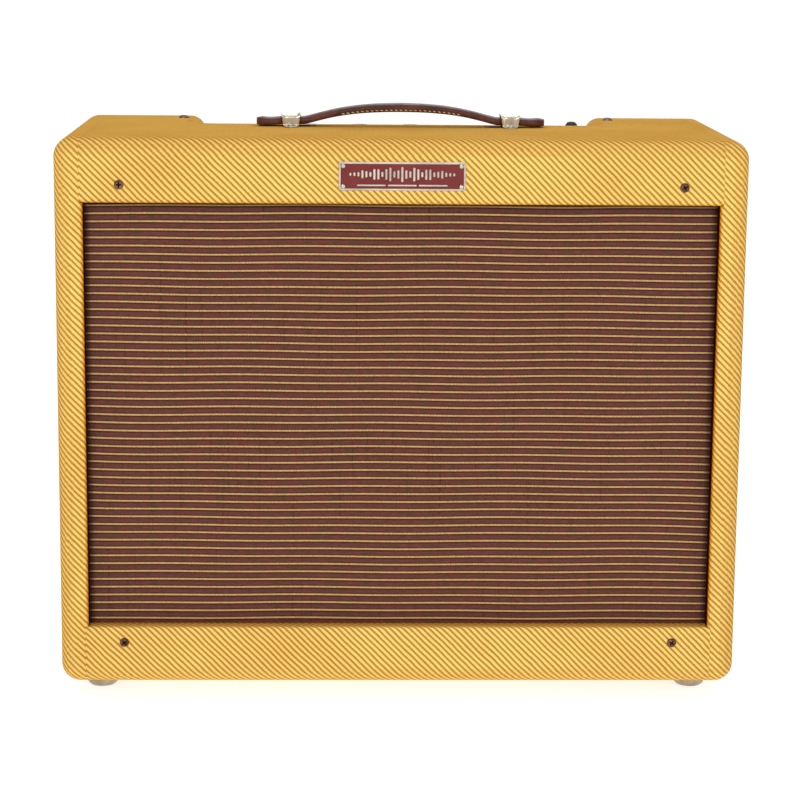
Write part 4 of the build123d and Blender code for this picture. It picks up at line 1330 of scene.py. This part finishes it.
def knob_line(name, x):
    """The cream line along the pointer's crest."""
    low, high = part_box(f"{name}_knob")
    section = ((-0.0005, -0.0003), (-0.00042, 0.00004), (0.00042, 0.00004), (0.0005, -0.0003))
    rows = [[(x + dx, y, high.z + dz) for dx, dz in section]
            for y in spread(low.y + 0.0022, CONTROL_Y - 0.0030, 8)]
    return face_outward(loft(f"{name}_line", rows, EXTRA["cream"], closed=False), (x, CONTROL_Y, 1.0))


def fuse_cap():
    """The screwed cap of the fuse holder: stem, fluted grip, shoulder and a small domed top."""
    low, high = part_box("fuse_cap")
    x, y = (low.x + high.x) / 2, (low.y + high.y) / 2
    grip_low, grip_high = 0.0034, 0.0105
    outline = [(0.0039, low.z - PANEL_TOP), (0.0039, 0.0023), (0.0068, 0.0023), (0.0070, 0.0028),
               (0.0067, grip_low), (0.0065, 0.0070), (0.0063, grip_high), (0.0057, 0.0114), (0.0053, 0.0122),
               (0.0051, 0.0148), (0.0047, 0.0168), (0.0038, 0.0184), (0.0023, 0.0193),
               (0.0008, high.z - PANEL_TOP)]
    rings, flutes, around = [], 16, 96
    for radius, height in outline:
        ring = []
        for i, (c, s) in enumerate(circle(around)):
            fluted = grip_low < height < grip_high
            reach = radius * (0.97 + 0.03 * math.cos(math.tau * flutes * i / around)) if fluted else radius
            ring.append((x + reach * c, y + reach * s, PANEL_TOP + height))
        rings.append(ring)
    return face_outward(loft("fuse_cap_fluted", rings, LOOKS["black_plastic"], ends=(0, -1)), (x, y, 1.0))


def controls():
    """The fuse cap, the moulded knobs and the panel's figures."""
    finish_piece(fuse_cap(), "fuse_cap", ("fuse_cap",))
    for name, x in KNOB_X.items():
        finish_piece(pointer_knob(name, x), name, (f"{name}_knob",))
        finish_piece(knob_line(name, x), name)
    finish_piece(dial_marks(), "cabinet")


# ================= inside the cabinet =================
def valve_inside(name, x, radius, top, bottom):
    """Anode with its support rods, and the mica discs, of one valve."""
    y = CONTROL_Y
    middle = (top + bottom) / 2
    half = (top - bottom) * 0.26
    section = []
    for i, (c, s) in enumerate(circle(24)):
        rib = 1 + 0.05 * math.copysign(1, math.cos(6 * (math.tau * i / 24)))
        section.append((x + radius * 0.62 * rib * c, y + radius * 0.36 * rib * s))
    rings = [[(px, py, z) for px, py in section] for z in spread(middle - half, middle + half, 8)]
    anode = loft(f"{name}_anode", rings, EXTRA["valve_plate"], ends=(0, -1), smooth=False)
    rod = [(0.0, bottom + 0.004), (0.0006, bottom + 0.004), (0.0006, top), (0.0, top)]
    rods = [lathe(f"{name}_rod_{i}", rod, (x + dx, y, 0.0), (0, 0, 1), EXTRA["valve_plate"], 10)
            for i, dx in enumerate((-radius * 0.5, radius * 0.5))]
    metal = joined(f"{name}_electrodes", [anode, *rods])
    disc = [(0.0, 0.0), (radius * 0.86, 0.0), (radius * 0.86, 0.0005), (0.0, 0.0005)]
    discs = [lathe(f"{name}_mica_{i}", disc, (x, y, z), (0, 0, 1), EXTRA["mica"], 28)
             for i, z in enumerate((middle - half - 0.0016, middle + half + 0.0011))]
    return metal, joined(f"{name}_micas", discs)


def valves():
    """Electrodes inside each glass bulb."""
    spots = [(0.0, 0.0140, 0.064), (0.042, 0.0140, 0.064), (0.086, 0.0154, 0.072)]
    for i, (x, radius, length) in enumerate(spots):
        top = SHELF - 0.0225
        for piece in valve_inside(f"octal_valve_{i + 1}", x, radius, top, top - length + 0.004):
            finish_piece(piece, "cabinet")


def speaker_terminals():
    """A solder tag strip with two tags under the magnet, on the basket."""
    patch = Patch()
    y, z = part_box("speaker_basket")[1].y - 0.012, SPEAKER_Z - 0.0565
    for x0, x1, y0, y1, z0, z1 in ((-0.015, 0.015, y - 0.003, y + 0.003, z - 0.0008, z + 0.0008),
                                   (-0.011, -0.006, y - 0.002, y + 0.006, z - 0.0014, z - 0.0008),
                                   (0.006, 0.011, y - 0.002, y + 0.006, z - 0.0014, z - 0.0008)):
        corners = [patch.add((cx, cy, cz)) for cz in (z0, z1) for cx, cy in
                   ((x0, y0), (x1, y0), (x1, y1), (x0, y1))]
        a, b, c, d, e, f, g, h = corners
        patch.faces += [(a, b, c, d), (e, f, g, h), (a, b, f, e), (b, c, g, f), (c, d, h, g), (d, a, e, h)]
    piece = patch.build("speaker_tag_strip", LOOKS["fibre_board"], smooth=False)
    finish_piece(piece, "cabinet")


def dress_cad_nodes():
    """Give every CAD node its slot's finish, and soften the machined edges of the listed nodes that stay on
    show.
    """
    record = frame["record"]
    slots = {part["node"]: part["material_slot"] for part in record["subparts"]}
    upright = ("side_panels", "back_cleats")
    crisp = {"panel_nuts": 0.0003, "power_transformer": 0.0006, "circuit_board": 0.0003,
             "toggle_switch_body": 0.0004, "output_transformer": 0.0006, "back_cleats": 0.0008}
    for name, node in frame["nodes"].items():
        material = EXTRA["pine_upright"] if name in upright else LOOKS[slots[name]]
        node.data.materials.clear()
        node.data.materials.append(material)
        if name in crisp and not node.hide_render:
            weld = node.modifiers.new("weld", "WELD")
            weld.merge_threshold = 0.00001
            bevel = node.modifiers.new("edges", "BEVEL")
            bevel.width = crisp[name]
            bevel.segments = 2
            bevel.limit_method = "ANGLE"
            bevel.angle_limit = math.radians(50)
            bevel.harden_normals = True


# ================= stage =================
def floor():
    """A pale floor, wide enough to fill the view from every side."""
    edges = (-400.0, 0.0, 400.0)
    rows = [[(x, y, 0.0) for x in edges] for y in edges]
    look = Look("floor", roughness=0.9, specular_ior_level=0.1, emission_color=(1, 1, 1, 1),
                emission_strength=0.76)
    paper = look.noise(look.place(), 2.0)
    look.set(base_color=look.ramp(paper, (0.3, (0.48, 0.48, 0.48, 1)), (0.7, (0.52, 0.52, 0.52, 1))))
    piece = loft("floor", rows, look.material, closed=False)
    face_outward(piece, (0, 0, 5))


def area_light(name, place, target, size, power, colour=(1, 1, 1)):
    data = bpy.data.lights.new(name, "AREA")
    data.shape = "RECTANGLE"
    data.size, data.size_y = size
    data.energy = power
    data.color = colour
    light = in_scene(name, data)
    light.location = place
    light.rotation_euler = (Vector(target) - Vector(place)).to_track_quat("-Z", "Y").to_euler()


def lighting():
    """Soft frontal studio light, a little stronger from above."""
    world = bpy.data.worlds.new("studio")
    bpy.context.scene.world = world
    world.use_nodes = True
    world.node_tree.nodes["Background"].inputs["Color"].default_value = (1, 1, 1, 1)
    world.node_tree.nodes["Background"].inputs["Strength"].default_value = 0.52
    area_light("key", (-0.9, -2.9, 1.7), (0, 0, 0.22), (1.3, 1.0), 33)
    area_light("fill", (1.6, -2.7, 1.0), (0, 0, 0.22), (1.4, 1.4), 13)
    area_light("top", (0.0, 0.2, 2.4), (0, 0, 0.2), (1.8, 1.4), 9)
    area_light("rear", (0.6, 2.6, 1.6), (0, 0, 0.25), (2.0, 1.5), 18)
    bpy.context.scene.view_settings.view_transform = "Standard"


def camera():
    """The photograph's viewing angle, from a little left of the middle and slightly above."""
    yaw, pitch, roll = math.radians(-1.547), math.radians(10.672), math.radians(0.483)
    level = Vector((-math.sin(yaw), math.cos(yaw), 0))
    forward = level * math.cos(pitch) - Vector((0, 0, 1)) * math.sin(pitch)
    up = level * math.sin(pitch) + Vector((0, 0, 1)) * math.cos(pitch)
    right = Vector((math.cos(yaw), math.sin(yaw), 0))
    rolled_right = right * math.cos(roll) + up * math.sin(roll)
    rolled_up = up * math.cos(roll) - right * math.sin(roll)
    data = bpy.data.cameras.new("camera")
    data.sensor_width = 36.0
    data.lens = 111.56
    data.clip_end = 900.0
    made = in_scene("camera", data)
    axes = Matrix((rolled_right, rolled_up, -forward)).transposed().to_4x4()
    made.matrix_world = Matrix.Translation((-0.0492, -1.91975, 0.5724)) @ axes
    bpy.context.scene.camera = made


camera()
lighting()
floor()
cover_cabinet()
grille()
build_handle()
nameplate()
cabinet_screws()
feet()
controls()
valves()
speaker_terminals()
dress_cad_nodes()
